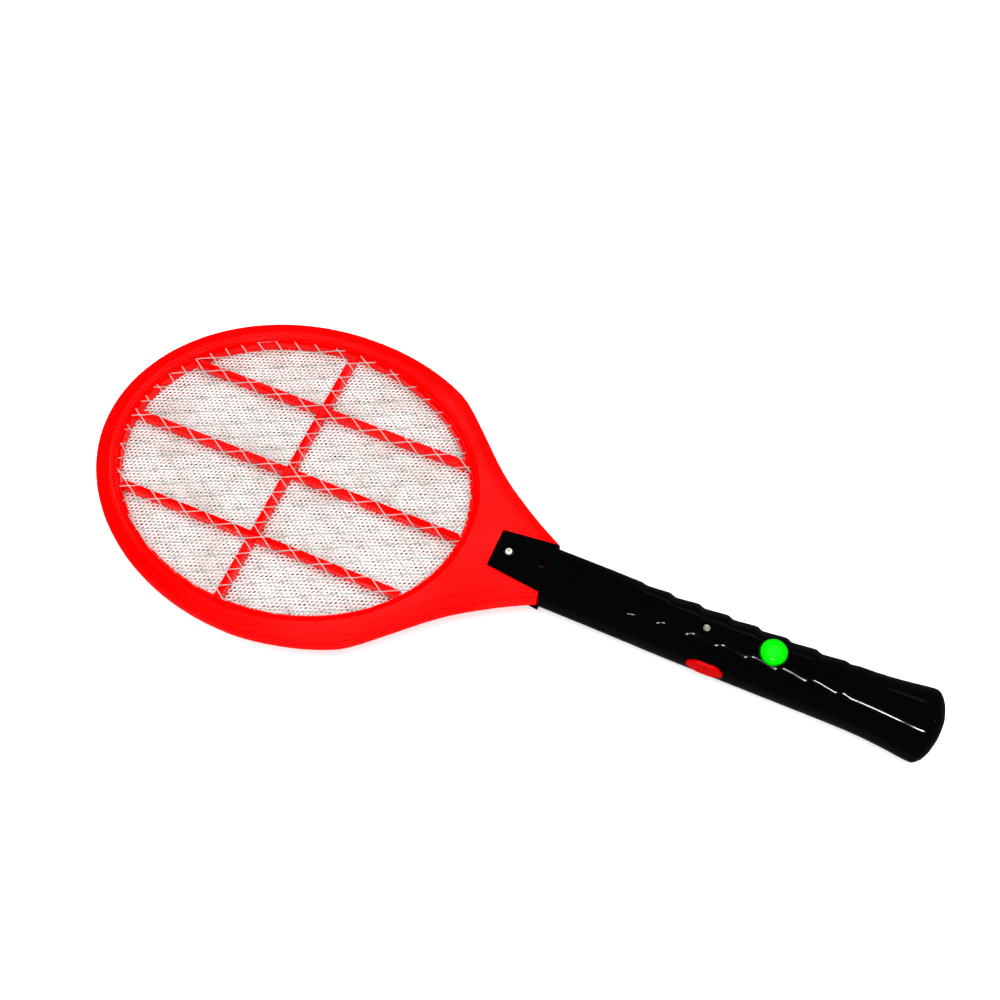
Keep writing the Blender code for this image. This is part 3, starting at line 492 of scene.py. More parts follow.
def make_materials():
    """Every finish, by material slot."""
    return {
        "red_plastic": moulded_plastic("red_plastic", (0.86, 0.0, 0.0),
                                       (0.78, 0.0, 0.0), (0.92, 0.0, 0.0), 0.16, 0.08),
        # red_button_painted_shade: the red plastic made darker for the side button as painted
        # shade, because the button sits on the handle's side away from the lights
        "red_button_painted_shade": moulded_plastic("red_button_painted_shade", (0.42, 0.0, 0.0), (0.36, 0.0, 0.0),
                                      (0.48, 0.0, 0.0), 0.16, 0.1),
        "black_plastic": moulded_plastic("black_plastic", (0.0004, 0.0004, 0.0005),
                                         (0.0003, 0.0003, 0.0004), (0.003, 0.003, 0.0033),
                                         0.08, 0.17),
        "green_plastic": moulded_plastic("green_plastic", (0.0, 0.48, 0.0),
                                         (0.0, 0.42, 0.0), (0.0, 0.56, 0.0), 0.1, 0.4),
        "net_aluminium": bare_metal("net_aluminium", (0.34, 0.39, 0.365), (0.27, 0.31, 0.29),
                                    0.42, metallic=0.25),
        "net_fine": bare_metal("net_fine", (0.66, 0.61, 0.595), (0.5, 0.45, 0.43), 0.5,
                               500.0, metallic=0.1),
        # net_back_painted_shade: the coarse net metal made darker and browner for the back net as
        # painted shade, because that net lies in the head's shadow
        "net_back_painted_shade": bare_metal("net_back_painted_shade", (0.2, 0.185, 0.14), (0.13, 0.12, 0.09), 0.5,
                               metallic=0.3),
        "screw_steel": bare_metal("screw_steel", (0.84, 0.85, 0.72), (0.2, 0.2, 0.15), 0.26,
                                  2200.0, metallic=0.45),
        "screw_shaded": bare_metal("screw_shaded", (0.05, 0.05, 0.04), (0.02, 0.02, 0.016),
                                   0.3, 2200.0, metallic=0.3),
        "contact_nickel": bare_metal("contact_nickel", (0.72, 0.69, 0.62),
                                     (0.5, 0.47, 0.4), 0.3, 1200.0),
        "switch_body": plain_finish("switch_body", (0.03, 0.03, 0.032), 0.5),
        "switch_plunger": plain_finish("switch_plunger", (0.72, 0.7, 0.6), 0.45, shift=0.1),
        "board_laminate": laminate(),
        "core_ferrite": plain_finish("core_ferrite", (0.06, 0.06, 0.065), 0.6, 1100.0, 0.5),
        "coil_tape": plain_finish("coil_tape", (0.78, 0.56, 0.09), 0.3, 260.0, 0.18),
        "film_capacitor": plain_finish("film_capacitor", (0.42, 0.05, 0.03), 0.25, 340.0),
        "ceramic_disc": plain_finish("ceramic_disc", (0.08, 0.2, 0.5), 0.3, 420.0),
        "black_epoxy": plain_finish("black_epoxy", (0.025, 0.025, 0.027), 0.55, 900.0, 0.4),
        "cell_wrap": cell_wrap(),
        "red_insulation": plain_finish("red_insulation", (0.6, 0.03, 0.02), 0.4, 700.0, 0.2),
        "white_insulation": plain_finish("white_insulation", (0.8, 0.79, 0.76), 0.42, 700.0,
                                         0.12),
        "black_insulation": plain_finish("black_insulation", (0.02, 0.02, 0.021), 0.4, 700.0,
                                         0.4),
    }


# ---------------------------------------------------------------- rim and throat

def half_outline():
    """Half of the head's outline with outward normals, and the turns paired with it.

    The head is an ellipse, a little wider toward the throat, and the throat leaves it smoothly.
    """
    meet = math.acos(THROAT[0][0] / HEAD_HALF[0])
    turns = [math.pi + (meet - math.pi) * i / HEAD_STEPS for i in range(HEAD_STEPS)]
    side = []
    for t in turns:
        x = HEAD_HALF[0] * math.cos(t)
        swell = 1 + HEAD_SWELL * min(1.0, max(0.0, x / HEAD_SWELL_LENGTH))
        side.append((x, HEAD_HALF[1] * math.sin(t) * swell))
    throat = curve_through((side[-4],) + THROAT, THROAT_STEPS)[THROAT_STEPS:]
    side += throat
    normals = []
    for i in range(len(side)):
        before = side[i - 1] if i else (side[1][0], -side[1][1])
        after = side[min(i + 1, len(side) - 1)]
        along = Vector(after) - Vector(before)
        normals.append(Vector((-along.y, along.x)).normalized())
    rest = len(throat) + END_STEPS
    turns += [meet * (1 - i / rest) ** TURN_POWER for i in range(rest + 1) if i != len(throat)]
    return side, normals, turns


def ellipse(offset, turn):
    """A point of the opening's outline, moved outwards by an offset."""
    return (OPENING_CENTRE_X + (OPENING_HALF[0] + offset) * math.cos(turn),
            (OPENING_HALF[1] + offset) * math.sin(turn))


def throat_share(x):
    """How much of the throat's extra inset a point of the outline gets."""
    t = min(1.0, max(0.0, (x - 2.0) / 52.0))
    return t * t * (3 - 2 * t)


def mirrored_row(half, height):
    """A closed row of points round the frame, from its half on one side."""
    mirrored = [(x, -y) for x, y in reversed(half[1:-1])]
    return [place(x, y, height) for x, y in half + mirrored]


def opening_row(row, side, turns):
    """A row of the frame's section that follows the opening."""
    distance, height = row
    return mirrored_row([ellipse(distance, t) for t in turns], side * height)


def outline_row(row, side, outline, end_inset=0.0):
    """A row that follows the outline, with a straight end across the throat."""
    distance, height, extra = row
    points, normals, _ = outline
    limit = THROAT_END[0] - end_inset
    half = []
    for point, normal in zip(points, normals):
        x, y = Vector(point) - normal * distance
        y -= math.copysign(extra * throat_share(point[0]), y)
        half.append((min(x, limit), y))
    last = normals[-1]
    slope = last.x / last.y
    y_end = THROAT_END[1] + slope * end_inset - distance / last.y - extra
    half[-1] = (limit, y_end)
    half += [(limit, y_end * (1 - i / END_STEPS)) for i in range(1, END_STEPS + 1)]
    return mirrored_row(half, side * height)


def frame_half(name, side, materials):
    """One half of the rim and throat, with stepped shoulders; side is 1 front, -1 back."""
    outline = half_outline()
    outside = FRONT_OUTSIDE if side > 0 else BACK_OUTSIDE
    inside = FRONT_INSIDE if side > 0 else BACK_INSIDE
    loops = [outline_row(row, side, outline) for row in outside]
    loops += [opening_row(row, side, outline[2]) for row in RIM_OPENING]
    loops += [outline_row(row, side, outline, INSIDE_END_INSET) for row in inside]
    thing = mesh_object(name + "_moulding", loft(loops, closed=True))
    for screw in ("tongue_screw", "throat_screw"):
        x, top, recess, _ = SCREWS[screw]
        deep = side > 0 and top < 10
        boolean(thing, post(x, 0, 4.2 if deep else 3.4, side * 0.15, side * 9.0), "UNION")
        boolean(thing, post(x, 0, SCREW_RADIUS + GAP, side * -2, side * 12))
        if deep:
            boolean(thing, post(x, 0, recess, top - SCREW_HEAD[1] - GAP, 12))
            boolean(thing, post(x, 0, recess + 0.9, top - SCREW_HEAD[1] - 0.25, 12))
    low, high = sorted((side * 0.15, side * 8.3))
    boolean(thing, box(136.4, 150.0, -9.3, 9.3, low, high), "UNION")
    low, high = sorted((side * 5.6, side * 7.6))
    boolean(thing, box(OPENING_END - 2, OPENING_END + 4, 3.4, 5.6, low, high))
    return finish_piece(thing, materials["red_plastic"], "casing", [name], 13.0)


def spacer_grid(name, side, materials):
    """A ring with three lengthwise ribs and one cross rib, between two nets."""
    section = ((-0.3, GRID_BOTTOM), (-1.0, GRID_BOTTOM), (-1.2, 0.8), (-1.2, GRID_TOP - 0.3),
               (-1.0, GRID_TOP), (-0.3, GRID_TOP), (-0.3, 1.5), (1.8, 1.5),
               (1.8, GRID_BOTTOM))
    turns = [2 * math.pi * i / 160 for i in range(160)]
    loops = [[place(*ellipse(offset, t), side * height) for t in turns]
             for offset, height in section]
    thing = mesh_object(name + "_moulding", loft(loops, closed=True))
    low, high = sorted((side * (GRID_BOTTOM + 0.03), side * (GRID_TOP - 0.03)))
    reach = (OPENING_HALF[0] - 0.75, OPENING_HALF[1] - 0.75)
    for row in (-1, 0, 1):
        y = row * RIB_SPACING
        end = reach[0] * math.sqrt(1 - ((abs(y) + RIB_HALF) / reach[1]) ** 2)
        boolean(thing, box(OPENING_CENTRE_X - end, OPENING_CENTRE_X + end, y - RIB_HALF,
                           y + RIB_HALF, low, high), "UNION")
    across = abs(CROSS_RIB_X - OPENING_CENTRE_X) + RIB_HALF
    end = reach[1] * math.sqrt(1 - (across / reach[0]) ** 2)
    boolean(thing, box(CROSS_RIB_X - RIB_HALF, CROSS_RIB_X + RIB_HALF, -end, end,
                       low + 0.01, high - 0.01), "UNION")
    bevel(thing, 0.28, 2, 50.0)
    return finish_piece(thing, materials["red_plastic"], "casing", [name])


# ---------------------------------------------------------------- nets

def cell_hole(corners, strand, flat):
    """The hole of one net cell, as (x, y, lean) points, from its left, low, right and top
    corners. flat is half the length of the cut end between the strands, or 0."""
    left, low, right, top = corners
    u = (right - left).normalized()
    v = Vector((-u.y, u.x))
    half_angle = math.atan2((top - low).length, (right - left).length)
    tip = strand / 2 / math.sin(half_angle)
    rise = strand / 2 / math.cos(half_angle)
    inner = [left + u * tip, low + v * rise, right - u * tip, top - v * rise]
    if flat == 0:
        return [(*inner[0], 0), (*inner[1], -1), (*inner[2], 0), (*inner[3], 1)]
    waist = 0.9
    mids = []
    for a, b in ((left, low), (low, right), (right, top), (top, left)):
        along = (b - a).normalized()
        mids.append((a + b) / 2 + Vector((-along.y, along.x)) * strand / 2 * waist)
    return [(*inner[0], 0), (*mids[0], -1), (*(inner[1] - u * flat + v * 0.12), -1),
            (*(inner[1] + u * flat + v * 0.12), -1), (*mids[1], -1), (*inner[2], 0),
            (*mids[2], 1), (*(inner[3] + u * flat - v * 0.12), 1),
            (*(inner[3] - u * flat - v * 0.12), 1), (*mids[3], 1)]


def net_node(net, i, j):
    """The place of a net's node, a little off the even lattice."""
    point = Vector(net.origin) + Vector(net.steps[0]) * i + Vector(net.steps[1]) * j
    seed = Vector((i * 1.7, j * 1.3, net.level * 5))
    return point + Vector((noise.noise(seed), noise.noise(seed + Vector((9, 4, 2))))) * net.wobble


def reach_share(point, reach):
    """How far a point is from the middle of the opening: 1 on the ellipse of a reach."""
    return math.hypot((point.x - OPENING_CENTRE_X) / reach[0], point.y / reach[1])


def flat_cells(net, reach):
    """A net's cells as a flat mesh that notes how far each point is thickened and leant."""
    step_a, step_b = Vector(net.steps[0]), Vector(net.steps[1])
    margin = 1 + (step_a - step_b).length / reach[1]
    bm = bmesh.new()
    crown = bm.verts.layers.float.new("crown")
    tilt = bm.verts.layers.float.new("tilt")
    known = {}

    def vertex(key, point, raised, leant=0.0):
        """The vertex with a key, made when it is first asked for."""
        if key not in known:
            known[key] = bm.verts.new((point[0], point[1], 0))
            known[key][crown] = raised
            known[key][tilt] = leant
        return known[key]

    for i in range(-NET_COUNT, NET_COUNT + 1):
        for j in range(-NET_COUNT, NET_COUNT + 1):
            middle = Vector(net.origin) + step_a * (i + 0.5) + step_b * (j + 0.5)
            if reach_share(middle, reach) > margin:
                continue
            keys = ((i, j), (i, j + 1), (i + 1, j + 1), (i + 1, j))
            corners = [net_node(net, *key) for key in keys]
            outer = [vertex((*key, 0), point, 1.0) for key, point in zip(keys, corners)]
            h = [vertex((i, j, 5 + n), p, 0.0, net.lean * p[2])
                 for n, p in enumerate(cell_hole(corners, net.strand, net.flat))]
            if net.flat == 0:
                for n in range(4):
                    k = (n + 1) % 4
                    bm.faces.new((outer[n], outer[k], h[k], h[n]))
                continue
            strands = ((i, j, 2), (i, j + 1, 1), (i + 1, j, 2), (i, j, 1))
            m0, m1, m2, m3 = [vertex(key, (corners[n] + corners[(n + 1) % 4]) / 2, 1.0)
                              for n, key in enumerate(strands)]
            l, b, r, t = outer
            for face in ((l, m0, h[1], h[0]), (m0, b, h[2], h[1]), (b, h[3], h[2]),
                         (b, m1, h[4], h[3]), (m1, r, h[5], h[4]), (r, m2, h[6], h[5]),
                         (m2, t, h[7], h[6]), (t, h[8], h[7]), (t, m3, h[9], h[8]),
                         (m3, l, h[0], h[9])):
                bm.faces.new(face)
    return bm


def trim_to_ellipse(bm, reach):
    """Cut a flat mesh off along the ellipse of a reach about the opening's centre."""
    for i in range(NET_SIDES):
        turn = 2 * math.pi * (i + 0.5) / NET_SIDES
        normal = Vector((math.cos(turn) / reach[0], math.sin(turn) / reach[1], 0))
        edge = Vector((OPENING_CENTRE_X + reach[0] * math.cos(turn),
                       reach[1] * math.sin(turn), 0))
        cut = [f for f in bm.faces if max((v.co - edge).dot(normal) for v in f.verts) > 0]
        geometry = dict.fromkeys(cut)
        for face in cut:
            geometry.update(dict.fromkeys((*face.edges, *face.verts)))
        bmesh.ops.bisect_plane(bm, geom=list(geometry), plane_co=edge, plane_no=normal,
                               clear_outer=True)
    stray = [face for face in bm.faces
             if reach_share(face.calc_center_median(), reach) > 1.001]
    bmesh.ops.delete(bm, geom=stray, context="FACES")


def thickened(flat_net, net):
    """A flat net given its thickness, its leaning strands and a slow swell up and down."""
    crown = flat_net.verts.layers.float["crown"]
    tilt = flat_net.verts.layers.float["tilt"]
    bm = bmesh.new()
    pairs = {}
    for v in flat_net.verts:
        half = net.thickness / 2 + 0.06 * v[crown]
        swell = 0.18 + 0.17 * noise.noise(v.co * 0.02 + Vector((3, 1, net.level)))
        base = net.level + math.copysign(swell, net.level) * (1 if net.wobble else 0)
        pairs[v] = [bm.verts.new(place(v.co.x, v.co.y, base + v[tilt] + z))
                    for z in (half, -half)]
    for face in flat_net.faces:
        bm.faces.new([pairs[v][0] for v in face.verts])
        bm.faces.new([pairs[v][1] for v in reversed(face.verts)])
    for edge in flat_net.edges:
        if len(edge.link_faces) == 1:
            a, b = edge.verts
            bm.faces.new((pairs[a][0], pairs[b][0], pairs[b][1], pairs[a][1]))
    flat_net.free()
    return bm


def lattice(name, net, material):
    """A net of expanded metal: diamond cells cut off by an ellipse, with free strand ends."""
    reach = (OPENING_HALF[0] - GAP, OPENING_HALF[1] - GAP)
    flat_net = flat_cells(net, reach)
    trim_to_ellipse(flat_net, reach)
    thing = mesh_object(name + "_strands", thickened(flat_net, net))
    return finish_piece(thing, material, "casing", [name], 40.0)


def nets(materials):
    """The two coarse outer nets and the fine net between the grids."""
    turn = math.radians(NET_TURN)
    spin = Matrix(((math.cos(turn), -math.sin(turn)), (math.sin(turn), math.cos(turn))))
    coarse = [spin @ Vector(step) for step in COARSE_STEPS]
    lattice("front_net", NetShape(6.8, coarse, (-10.0, -63.1), 0.6, 0.34, 0.55, 0.12, 0.22),
            materials["net_aluminium"])
    # The back net takes the darker copy of the net metal: painted shade
    lattice("back_net", NetShape(-6.8, coarse, (-3.0, -58.0), 0.72, 0.34, 0.55, 0.12, 0.22),
            materials["net_back_painted_shade"])
    lattice("centre_net", NetShape(0.0, FINE_STEPS, (0.0, 0.0), 0.72, 0.26, 0.0, 0.05, 0.0),
            materials["net_fine"])


# ---------------------------------------------------------------- handle

def wave(x):
    """How deep the grip's finger hollows are at a distance along it: 0 on a crest, 1 at most."""
    start = WAVE_TIP - WAVE_PITCH
    end = WAVE_TIP + WAVE_PITCH * (WAVE_COUNT - 1)
    if not start < x < end + WAVE_PITCH * 0.5:
        return 0.0
    place_in = ((x - WAVE_TIP) / WAVE_PITCH) % 1.0
    depth = (place_in / 0.22 if place_in < 0.22 else 1 - (place_in - 0.22) / 0.78)
    depth = depth * depth * (3 - 2 * depth) * 0.45 + depth * 0.55
    if x < WAVE_TIP:
        depth *= 0.6
    return depth * min(1.0, max(0.0, (end + WAVE_PITCH * 0.5 - x) / (WAVE_PITCH * 0.5)))


def even_points(points, count, rounds):
    """The line through 2-D points with count even points, its corners eased."""
    for turn in range(rounds + 1):
        lengths = [0.0]
        for p, q in zip(points, points[1:]):
            lengths.append(lengths[-1] + math.dist(p, q))
        found = []
        k = 0
        for i in range(count):
            s = lengths[-1] * i / (count - 1)
            while k < len(lengths) - 2 and lengths[k + 1] < s:
                k += 1
            t = (s - lengths[k]) / max(1e-9, lengths[k + 1] - lengths[k])
            found.append(tuple(a + (b - a) * t for a, b in zip(points[k], points[k + 1])))
        points = found
        if turn < rounds:
            points = [points[0]] + [tuple((a + 2 * b + c) / 4 for a, b, c in zip(*trio))
                                    for trio in zip(points, points[1:], points[2:])]
            points.append(found[-1])
    return points


def section(half_width, edge, share, crown, rounds):
    """Half a handle section, from the parting plane over the top and down again."""
    facet = half_width * share
    rise = edge / math.sqrt(1 - share ** 2)
    corner = math.acos(share)
    steps = 14
    side = [(half_width * math.cos(corner * i / steps), rise * math.sin(corner * i / steps))
            for i in range(steps + 1)]
    side[0] = (half_width - 0.25, 0.15)
    side.insert(1, (half_width - 0.02, 0.42))
    side[2] = (side[2][0], max(side[2][1], 0.8))
    top = [(facet * (1 - 2 * i / steps), edge + crown * (1 - (1 - 2 * i / steps) ** 2))
           for i in range(1, steps)]
    return even_points(side + top + [(-y, z) for y, z in reversed(side)], SECTION_POINTS, rounds)


def back_height(x):
    """How far the back of the handle is from the parting plane at a distance."""
    return BACK_FLAT - max(0.0, (205.0 - x) / 66.0) * 2.6


def handle_section(x, front, thickness=0.0):
    """The front or back half section at a distance, inset by a thickness."""
    half_width, edge, share, crown = hermite(HANDLE, x)
    hollow = wave(x) * WAVE_DEPTH if thickness == 0.0 else 0.0
    if not front:
        edge = min(back_height(x), edge + crown) if x > POMMEL_TURN else back_height(x)
        share = 0.68 if x < POMMEL_TURN else 0.55
        crown = 0.0
    points = section(half_width - thickness, edge - thickness, share - thickness * 0.012, crown,
                     2 if thickness == 0.0 else 0)
    if hollow == 0.0:
        return points
    carved = []
    for y, z in points:
        high = min(1.0, max(0.0, z / (0.75 * edge)))
        beside = min(1.0, max(0.0, (abs(y) / half_width - 0.25) / 0.3))
        strength = (0.55 + 0.45 * high) if y > 0 else 0.22 + 0.5 * high
        if not front:
            strength *= 1 - high
        scale = 1 - hollow * strength * beside / half_width
        carved.append((y * scale, z - (hollow * strength * beside * 0.35 * high if front else 0)))
    return carved


def tongue_section(share, lower):
    """Outer and inner half sections of the tongue, from its tip (0) to the handle (1)."""
    half = 10.5 + 3.3 * share
    facet = 8.4 + 1.3 * share
    low, high = TONGUE_BASE + 0.4, TONGUE_TOP - lower
    side = [(half, low), (half - 0.15, low + 0.5), (facet + 0.3, high - 0.25), (facet, high)]
    top = [(facet * (1 - 2 * i / 6), high + 0.2 * (1 - (1 - 2 * i / 6) ** 2))
           for i in range(1, 6)]
    outer = even_points(side + top + [(-y, z) for y, z in reversed(side)], SECTION_POINTS, 1)
    inner = [(y * 0.995, TONGUE_BASE) for y, z in outer]
    return outer, inner


def shell_loops(front):
    """Outer and inner half sections along one shell, and how many of them are the tongue's."""
    side = 1 if front else -1
    outer_loops = []
    inner_loops = []
    for x, share, lower in ((TONGUE_START, 0.0, 0.6), (TONGUE_START + 0.3, 0.01, 0.2),
                            (TONGUE_START + 1.0, 0.04, 0.0), (HANDLE_FRONT - 0.3, 1.0, 0.0)):
        outer, inner = tongue_section(share, lower)
        outer_loops.append([place(x, y, side * z) for y, z in outer])
        inner_loops.append([place(x, y, side * z) for y, z in inner])
    tongue = len(outer_loops)
    distances = [HANDLE_FRONT, HANDLE_FRONT + 0.35]
    x = HANDLE_START + 0.8
    while x < HANDLE_END - 0.4:
        distances.append(x)
        x += 0.85 if x < 325 else 0.5
    distances.append(HANDLE_END)
    for i, x in enumerate(distances):
        points = handle_section(max(x, HANDLE_START), front)
        squeeze = 0.35 if i == 0 else 0.0
        outer_loops.append([place(x, y * (1 - squeeze / 15 * min(1.0, max(0.0, 12 - z))),
                                  side * z) for y, z in points])
    for x in INSIDE_STATIONS:
        inner_loops.append([place(x, y, side * z)
                            for y, z in handle_section(min(x, INSIDE_END), front, WALL)])
    return outer_loops, inner_loops, tongue


def shell_mesh(front):
    """A half shell of the handle: outer skin, inner skin, and the faces that join them."""
    outer_loops, inner_loops, tongue = shell_loops(front)
    bm = bmesh.new()
    outer = [[bm.verts.new(point) for point in loop] for loop in outer_loops]
    inner = [[bm.verts.new(point) for point in loop] for loop in inner_loops]
    count = len(outer[0])
    for rows in (outer, inner):
        for row, following in zip(rows, rows[1:]):
            for i in range(count - 1):
                bm.faces.new((row[i], row[i + 1], following[i + 1], following[i]))
    for edge in (0, count - 1):
        for k in range(tongue):
            bm.faces.new((outer[k][edge], outer[k + 1][edge], inner[k + 1][edge],
                          inner[k][edge]))
        bm.faces.new([row[edge] for row in outer[tongue:]]
                     + [row[edge] for row in inner[:tongue - 1:-1]])
    for i in range(count - 1):
        bm.faces.new((outer[0][i], outer[0][i + 1], inner[0][i + 1], inner[0][i]))
    bm.faces.new(outer[-1])
    bm.faces.new(inner[-1])
    bm.faces.new((outer[-1][0], outer[-1][-1], inner[-1][-1], inner[-1][0]))
    return bm


def side_button_cutter():
    """The side button's opening through both shells, with an eased edge."""
    half = grow(SIDE_BUTTON_HALF, GAP)
    return loft([oval_loop(grow(half, 1.2), -20), oval_loop(grow(half, 0.5), -15.0),
                 oval_loop(half, -14.2), oval_loop(half, -9)])


def front_shell(materials):
    """The front half of the handle, with the tongue, finger waves and holes."""
    thing = mesh_object("front_handle_moulding", shell_mesh(True))
    boolean(thing, post(SCREWS["grip_screw"][0], 0, 4.0, 4.7, 14.6), "UNION")
    x, top, recess, _ = SCREWS["throat_screw"]
    boolean(thing, post(x, 0, recess + 0.6, top - SCREW_HEAD[1] + 0.1, 12.0), "UNION")
    for x, top, recess, _ in SCREWS.values():
        boolean(thing, post(x, 0, SCREW_RADIUS + GAP, -1, 18))
        seat = top - SCREW_HEAD[1] - GAP
        rim = (TONGUE_HOLE_TOP if x < HANDLE_FRONT else GRIP_HOLE_TOP) - 0.25
        boolean(thing, turned(x, 0, ((recess, seat), (recess, rim), (recess + 1.2, rim + 1.2)),
                              48))
    x, radius, top = PUSH_BUTTON
    boolean(thing, turned(x, 0, ((radius + GAP, 8), (radius + GAP, 14.95),
                                 (radius + 0.75, 15.5), (radius + 0.95, 15.9),
                                 (radius + 1.6, 18.5)), 96))
    boolean(thing, side_button_cutter())
    return finish_piece(thing, materials["black_plastic"], "casing",
                        ["front_handle_shell"], 24.0)


def door_prism(slack):
    """The T-shaped bar that the door and its slot are both cut with."""
    half = DOOR_HALF + slack
    flange = DOOR_FLANGE_HALF + slack
    level = -(BACK_FLAT - WALL) + GAP
    shape = ((half, -20.0), (half, level - slack), (flange, level - slack),
             (flange, level + 1.0 + slack), (-flange, level + 1.0 + slack),
             (-flange, level - slack), (-half, level - slack), (-half, -20.0))
    return loft([[place(x, y, z) for y, z in shape] for x in (DOOR_START - slack, 345.0)])


def back_shell(materials):
    """The back half of the handle, with the door's slot."""
    thing = mesh_object("back_handle_moulding", shell_mesh(False))
    boolean(thing, door_prism(GAP))
    boolean(thing, side_button_cutter())
    return finish_piece(thing, materials["black_plastic"], "casing",
                        ["back_handle_shell"], 24.0)


def battery_door(materials):
    """The sliding door: the T bar trimmed by the handle's outside, with thumb grooves."""
    start = place(205.0, 0, 0).x
    kept = [loop for loop in shell_loops(False)[0] if loop[0].x > start]
    thing = mesh_object("battery_door_moulding", loft(kept))
    boolean(thing, door_prism(0.0), "INTERSECT")
    for i in range(6):
        x = 240.0 + 2.6 * i
        half = 5.6 - 0.55 * i
        groove = [[place(x + 0.7 * math.cos(t), y, -BACK_FLAT + 0.7 * math.sin(t))
                   for t in [2 * math.pi * (n + 0.5) / 16 for n in range(16)]]
                  for y in (-half, half)]
        boolean(thing, loft(groove))
    bevel(thing, 0.18, 2, 50.0)
    return finish_piece(thing, materials["black_plastic"], "battery_door",
                        ["battery_door"])


# ---------------------------------------------------------------- buttons, screws and cells

def push_button(materials):
    """Domed round button with a flange under the shell."""
    x, r, top = PUSH_BUTTON
    profile = [(1.6, 9.3), (r + 1.0, 9.3), (r + 1.0, 10.3), (r, 10.3), (r, top - 3.5)]
    for i in range(1, 13):
        t = math.pi / 2 * i / 13
        profile.append((r - 0.9 + 0.9 * math.cos(t) ** 0.8 if i < 4 else
                        (r - 0.1) * math.cos(t) ** 0.62, top - 3.5 + 3.5 * math.sin(t) ** 1.05))
    profile.append((0.25, top - 0.005))
    thing = mesh_object("push_button_dome", turned(x, 0, profile, 96))
    return finish_piece(thing, materials["green_plastic"], "push_button",
                        ["push_button"])


def side_button(materials):
    """Oval button with a raised rim, a dished face and a small pip."""
    face = SIDE_BUTTON_FACE
    rows = ((0.9, -10.0), (0.9, -10.8), (0.0, -10.8), (0.0, -face + 0.75), (-0.1, -face + 0.35),
            (-0.4, -face + 0.08), (-0.8, -face), (-1.2, -face + 0.1), (-1.6, -face + 0.4),
            (-2.1, -face + 0.66), (-3.0, -face + 0.85), (-4.0, -face + 0.93),
            (-5.0, -face + 0.95))
    loops = [oval_loop(grow(SIDE_BUTTON_HALF, offset), y) for offset, y in rows]
    thing = mesh_object("side_button_oval", loft(loops))
    turns = [2 * math.pi * i / 20 for i in range(20)]
    pip = [[place(SIDE_BUTTON_X + r * math.cos(t), y, r * math.sin(t)) for t in turns]
           for r, y in ((0.75, -face + 1.5), (0.7, -face + 0.85), (0.5, -face + 0.6),
                        (0.15, -face + 0.5))]
    boolean(thing, loft(pip), "UNION")
    # The side button takes the darker red copy: painted shade, not a different plastic
    return finish_piece(thing, materials["red_button_painted_shade"], "side_button",
                        ["side_button"])


def screws(materials):
    """Pan-head screws with a cross recess and a threaded shaft."""
    for name, (x, top, _, end) in SCREWS.items():
        seat = top - SCREW_HEAD[1]
        radius = SCREW_HEAD[0] * (1.0 if name == "throat_screw" else SHOWN_HEAD_SHARE)
        profile = [(0.25, end), (1.0, end + 1.6)]
        z = end + 2.0
        while z < seat - 2.0:
            profile += [(1.02, z), (SCREW_RADIUS, z + 0.28), (1.02, z + 0.56)]
            z += 0.8
        profile += [(1.1, seat - 0.6), (1.15, seat), (radius, seat), (radius, top - 0.75)]
        profile += [(radius * math.cos(t), top - 0.75 + 0.75 * math.sin(t))
                    for t in [math.pi / 2 * i / 7 for i in range(1, 7)]]
        profile.append((0.2, top))
        thing = mesh_object(name + "_steel", turned(x, 0, profile, 40))
        for a, b in ((1.25, 0.24), (0.24, 1.25)):
            slot_mesh = loft([[place(x + u * a * g, v * b * g, z)
                               for u, v in ((-1, -1), (1, -1), (1, 1), (-1, 1))]
                              for g, z in ((0.55, top - 0.95), (1.0, top + 0.1))])
            boolean(thing, slot_mesh)
        steel = materials["screw_shaded" if name == "throat_screw" else "screw_steel"]
        finish_piece(thing, steel, "casing", [name])


def cells(materials):
    """Two cells: a wrapped can with a rolled edge, a plus cap and a flat minus end."""
    for i in range(2):
        name = f"battery_{i + 1}"
        low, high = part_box(name)
        middle = (low + high) / 2
        r = (high.y - low.y) / 2
        length = high.x - low.x
        profile = ((0.15, 0.0), (0.72, 0.0), (0.86, 0.006), (0.96, 0.004), (1.0, 0.012),
                   (1.0, 0.952), (0.97, 0.966), (0.9, 0.972), (0.84, 0.964), (0.5, 0.962),
                   (0.42, 0.966), (0.4, 0.992), (0.36, 1.0), (0.1, 1.0))
        turns = [2 * math.pi * (n + 0.5) / 64 for n in range(64)]
        loops = [[Vector((low.x + length * s, middle.y + r * q * math.cos(t),
                          middle.z + r * q * math.sin(t))) for t in turns]
                 for q, s in profile]
        thing = mesh_object(name + "_can", loft(loops))
        finish_piece(thing, materials["cell_wrap"], "casing", [name])


def finish_cad_nodes(materials):
    """Give every CAD node that stays visible its own finish."""
    for part in frame["record"]["subparts"]:
        node = frame["nodes"][part["node"]]
        if node.hide_render:
            continue
        node.data.materials.clear()
        node.data.materials.append(materials[part["material_slot"]])


# ---------------------------------------------------------------- stage

def area_light(name, direction, distance, size, power, glossy=True, target=(0.03, 0.0, 0.02)):
    """A rectangular light seen from the target along a direction given as azimuth, elevation."""
    azimuth, elevation = (math.radians(a) for a in direction)
    away = Vector((math.sin(azimuth) * math.cos(elevation),
                   -math.cos(azimuth) * math.cos(elevation), math.sin(elevation)))
    data = bpy.data.lights.new(name, "AREA")
    data.shape = "RECTANGLE"
    data.size, data.size_y = size
    data.energy = power
    light = bpy.data.objects.new(name, data)
    bpy.context.scene.collection.objects.link(light)
    light.location = Vector(target) + away * distance
    light.rotation_euler = (-away).to_track_quat("-Z", "Y").to_euler()
    light.visible_glossy = glossy
    return light


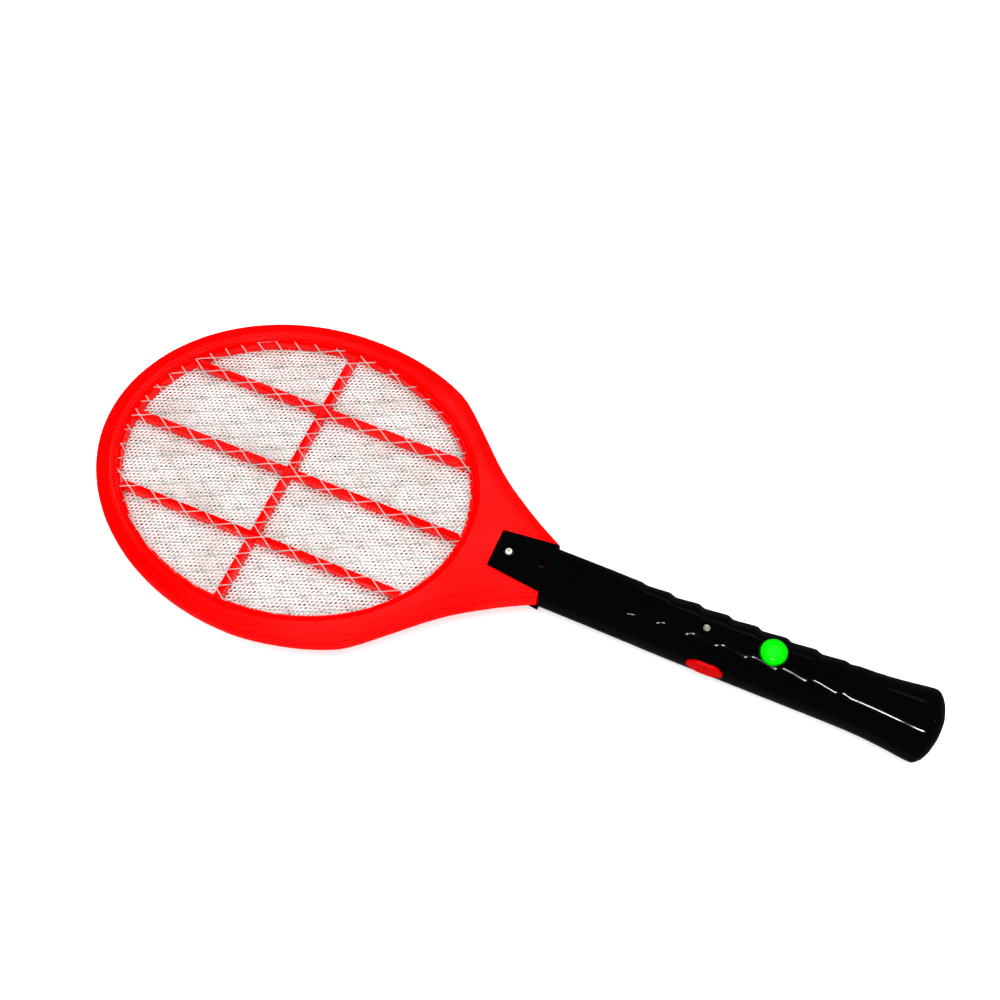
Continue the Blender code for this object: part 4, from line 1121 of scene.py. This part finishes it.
def stage():
    """Pale floor, soft lights and a faint surrounding glow."""
    floor_mesh = bmesh.new()
    bmesh.ops.create_grid(floor_mesh, x_segments=1, y_segments=1, size=4.0)
    floor = mesh_object("floor", floor_mesh)
    floor.location.z = -0.0002
    m = Nodes("floor_paint", 0.7)
    patches = m.ramp(m.noise(6.0, 2.0), 0.3, 0.7)
    m.colour(m.mix(patches, (0.95, 0.95, 0.95), (0.965, 0.965, 0.965)))
    m.shader.inputs["Specular IOR Level"].default_value = 0.1
    floor.data.materials.append(m.material)
    floor.visible_glossy = False
    world = bpy.data.worlds.new("glow")
    bpy.context.scene.world = world
    world.use_nodes = True
    background = world.node_tree.nodes["Background"]
    background.inputs["Color"].default_value = (0.95, 0.97, 1.0, 1.0)
    background.inputs["Strength"].default_value = 0.06
    area_light("soft_top", (180.0, 86.0), 1.5, (1.8, 1.8), 54.0, glossy=False)
    area_light("soft_back", (180.0, 58.0), 1.6, (1.4, 1.0), 8.0, glossy=False)
    area_light("soft_front", (20.0, 42.0), 1.7, (1.6, 0.9), 19.0, glossy=False)
    area_light("key", (14.0, 52.0), 1.5, (0.24, 0.05), 6.0)
    area_light("side_key", (95.0, 24.0), 1.5, (0.06, 0.06), 0.3)
    sheen = area_light("sheen", (180.0, 33.0), 1.5, (0.45, 0.22), 0.2)
    sheen.data.color = (0.7, 0.8, 1.0)


def camera():
    """The view: from the front right, looking down."""
    azimuth, elevation = (math.radians(a) for a in VIEW_ANGLES)
    right = Vector((math.cos(azimuth), math.sin(azimuth), 0))
    away = Vector((-math.sin(azimuth) * math.cos(elevation),
                   math.cos(azimuth) * math.cos(elevation), -math.sin(elevation)))
    up = right.cross(away)
    data = bpy.data.cameras.new("view")
    data.sensor_width = 36.0
    data.lens = VIEW_LENS
    data.clip_start = 0.01
    thing = bpy.data.objects.new("view", data)
    bpy.context.scene.collection.objects.link(thing)
    pose = Matrix((right, up, -away)).transposed().to_4x4()
    pose.translation = Vector(VIEW_PLACE)
    thing.matrix_world = pose
    bpy.context.scene.camera = thing


def main():
    """Build every piece, then the stage and the view."""
    materials = make_materials()
    frame_half("front_frame", 1, materials)
    frame_half("back_frame", -1, materials)
    spacer_grid("front_spacer_grid", 1, materials)
    spacer_grid("back_spacer_grid", -1, materials)
    nets(materials)
    front_shell(materials)
    back_shell(materials)
    battery_door(materials)
    push_button(materials)
    side_button(materials)
    screws(materials)
    cells(materials)
    finish_cad_nodes(materials)
    stage()
    camera()
    bpy.context.scene.view_settings.view_transform = "Standard"


main()
bpy.context.view_layer.update()
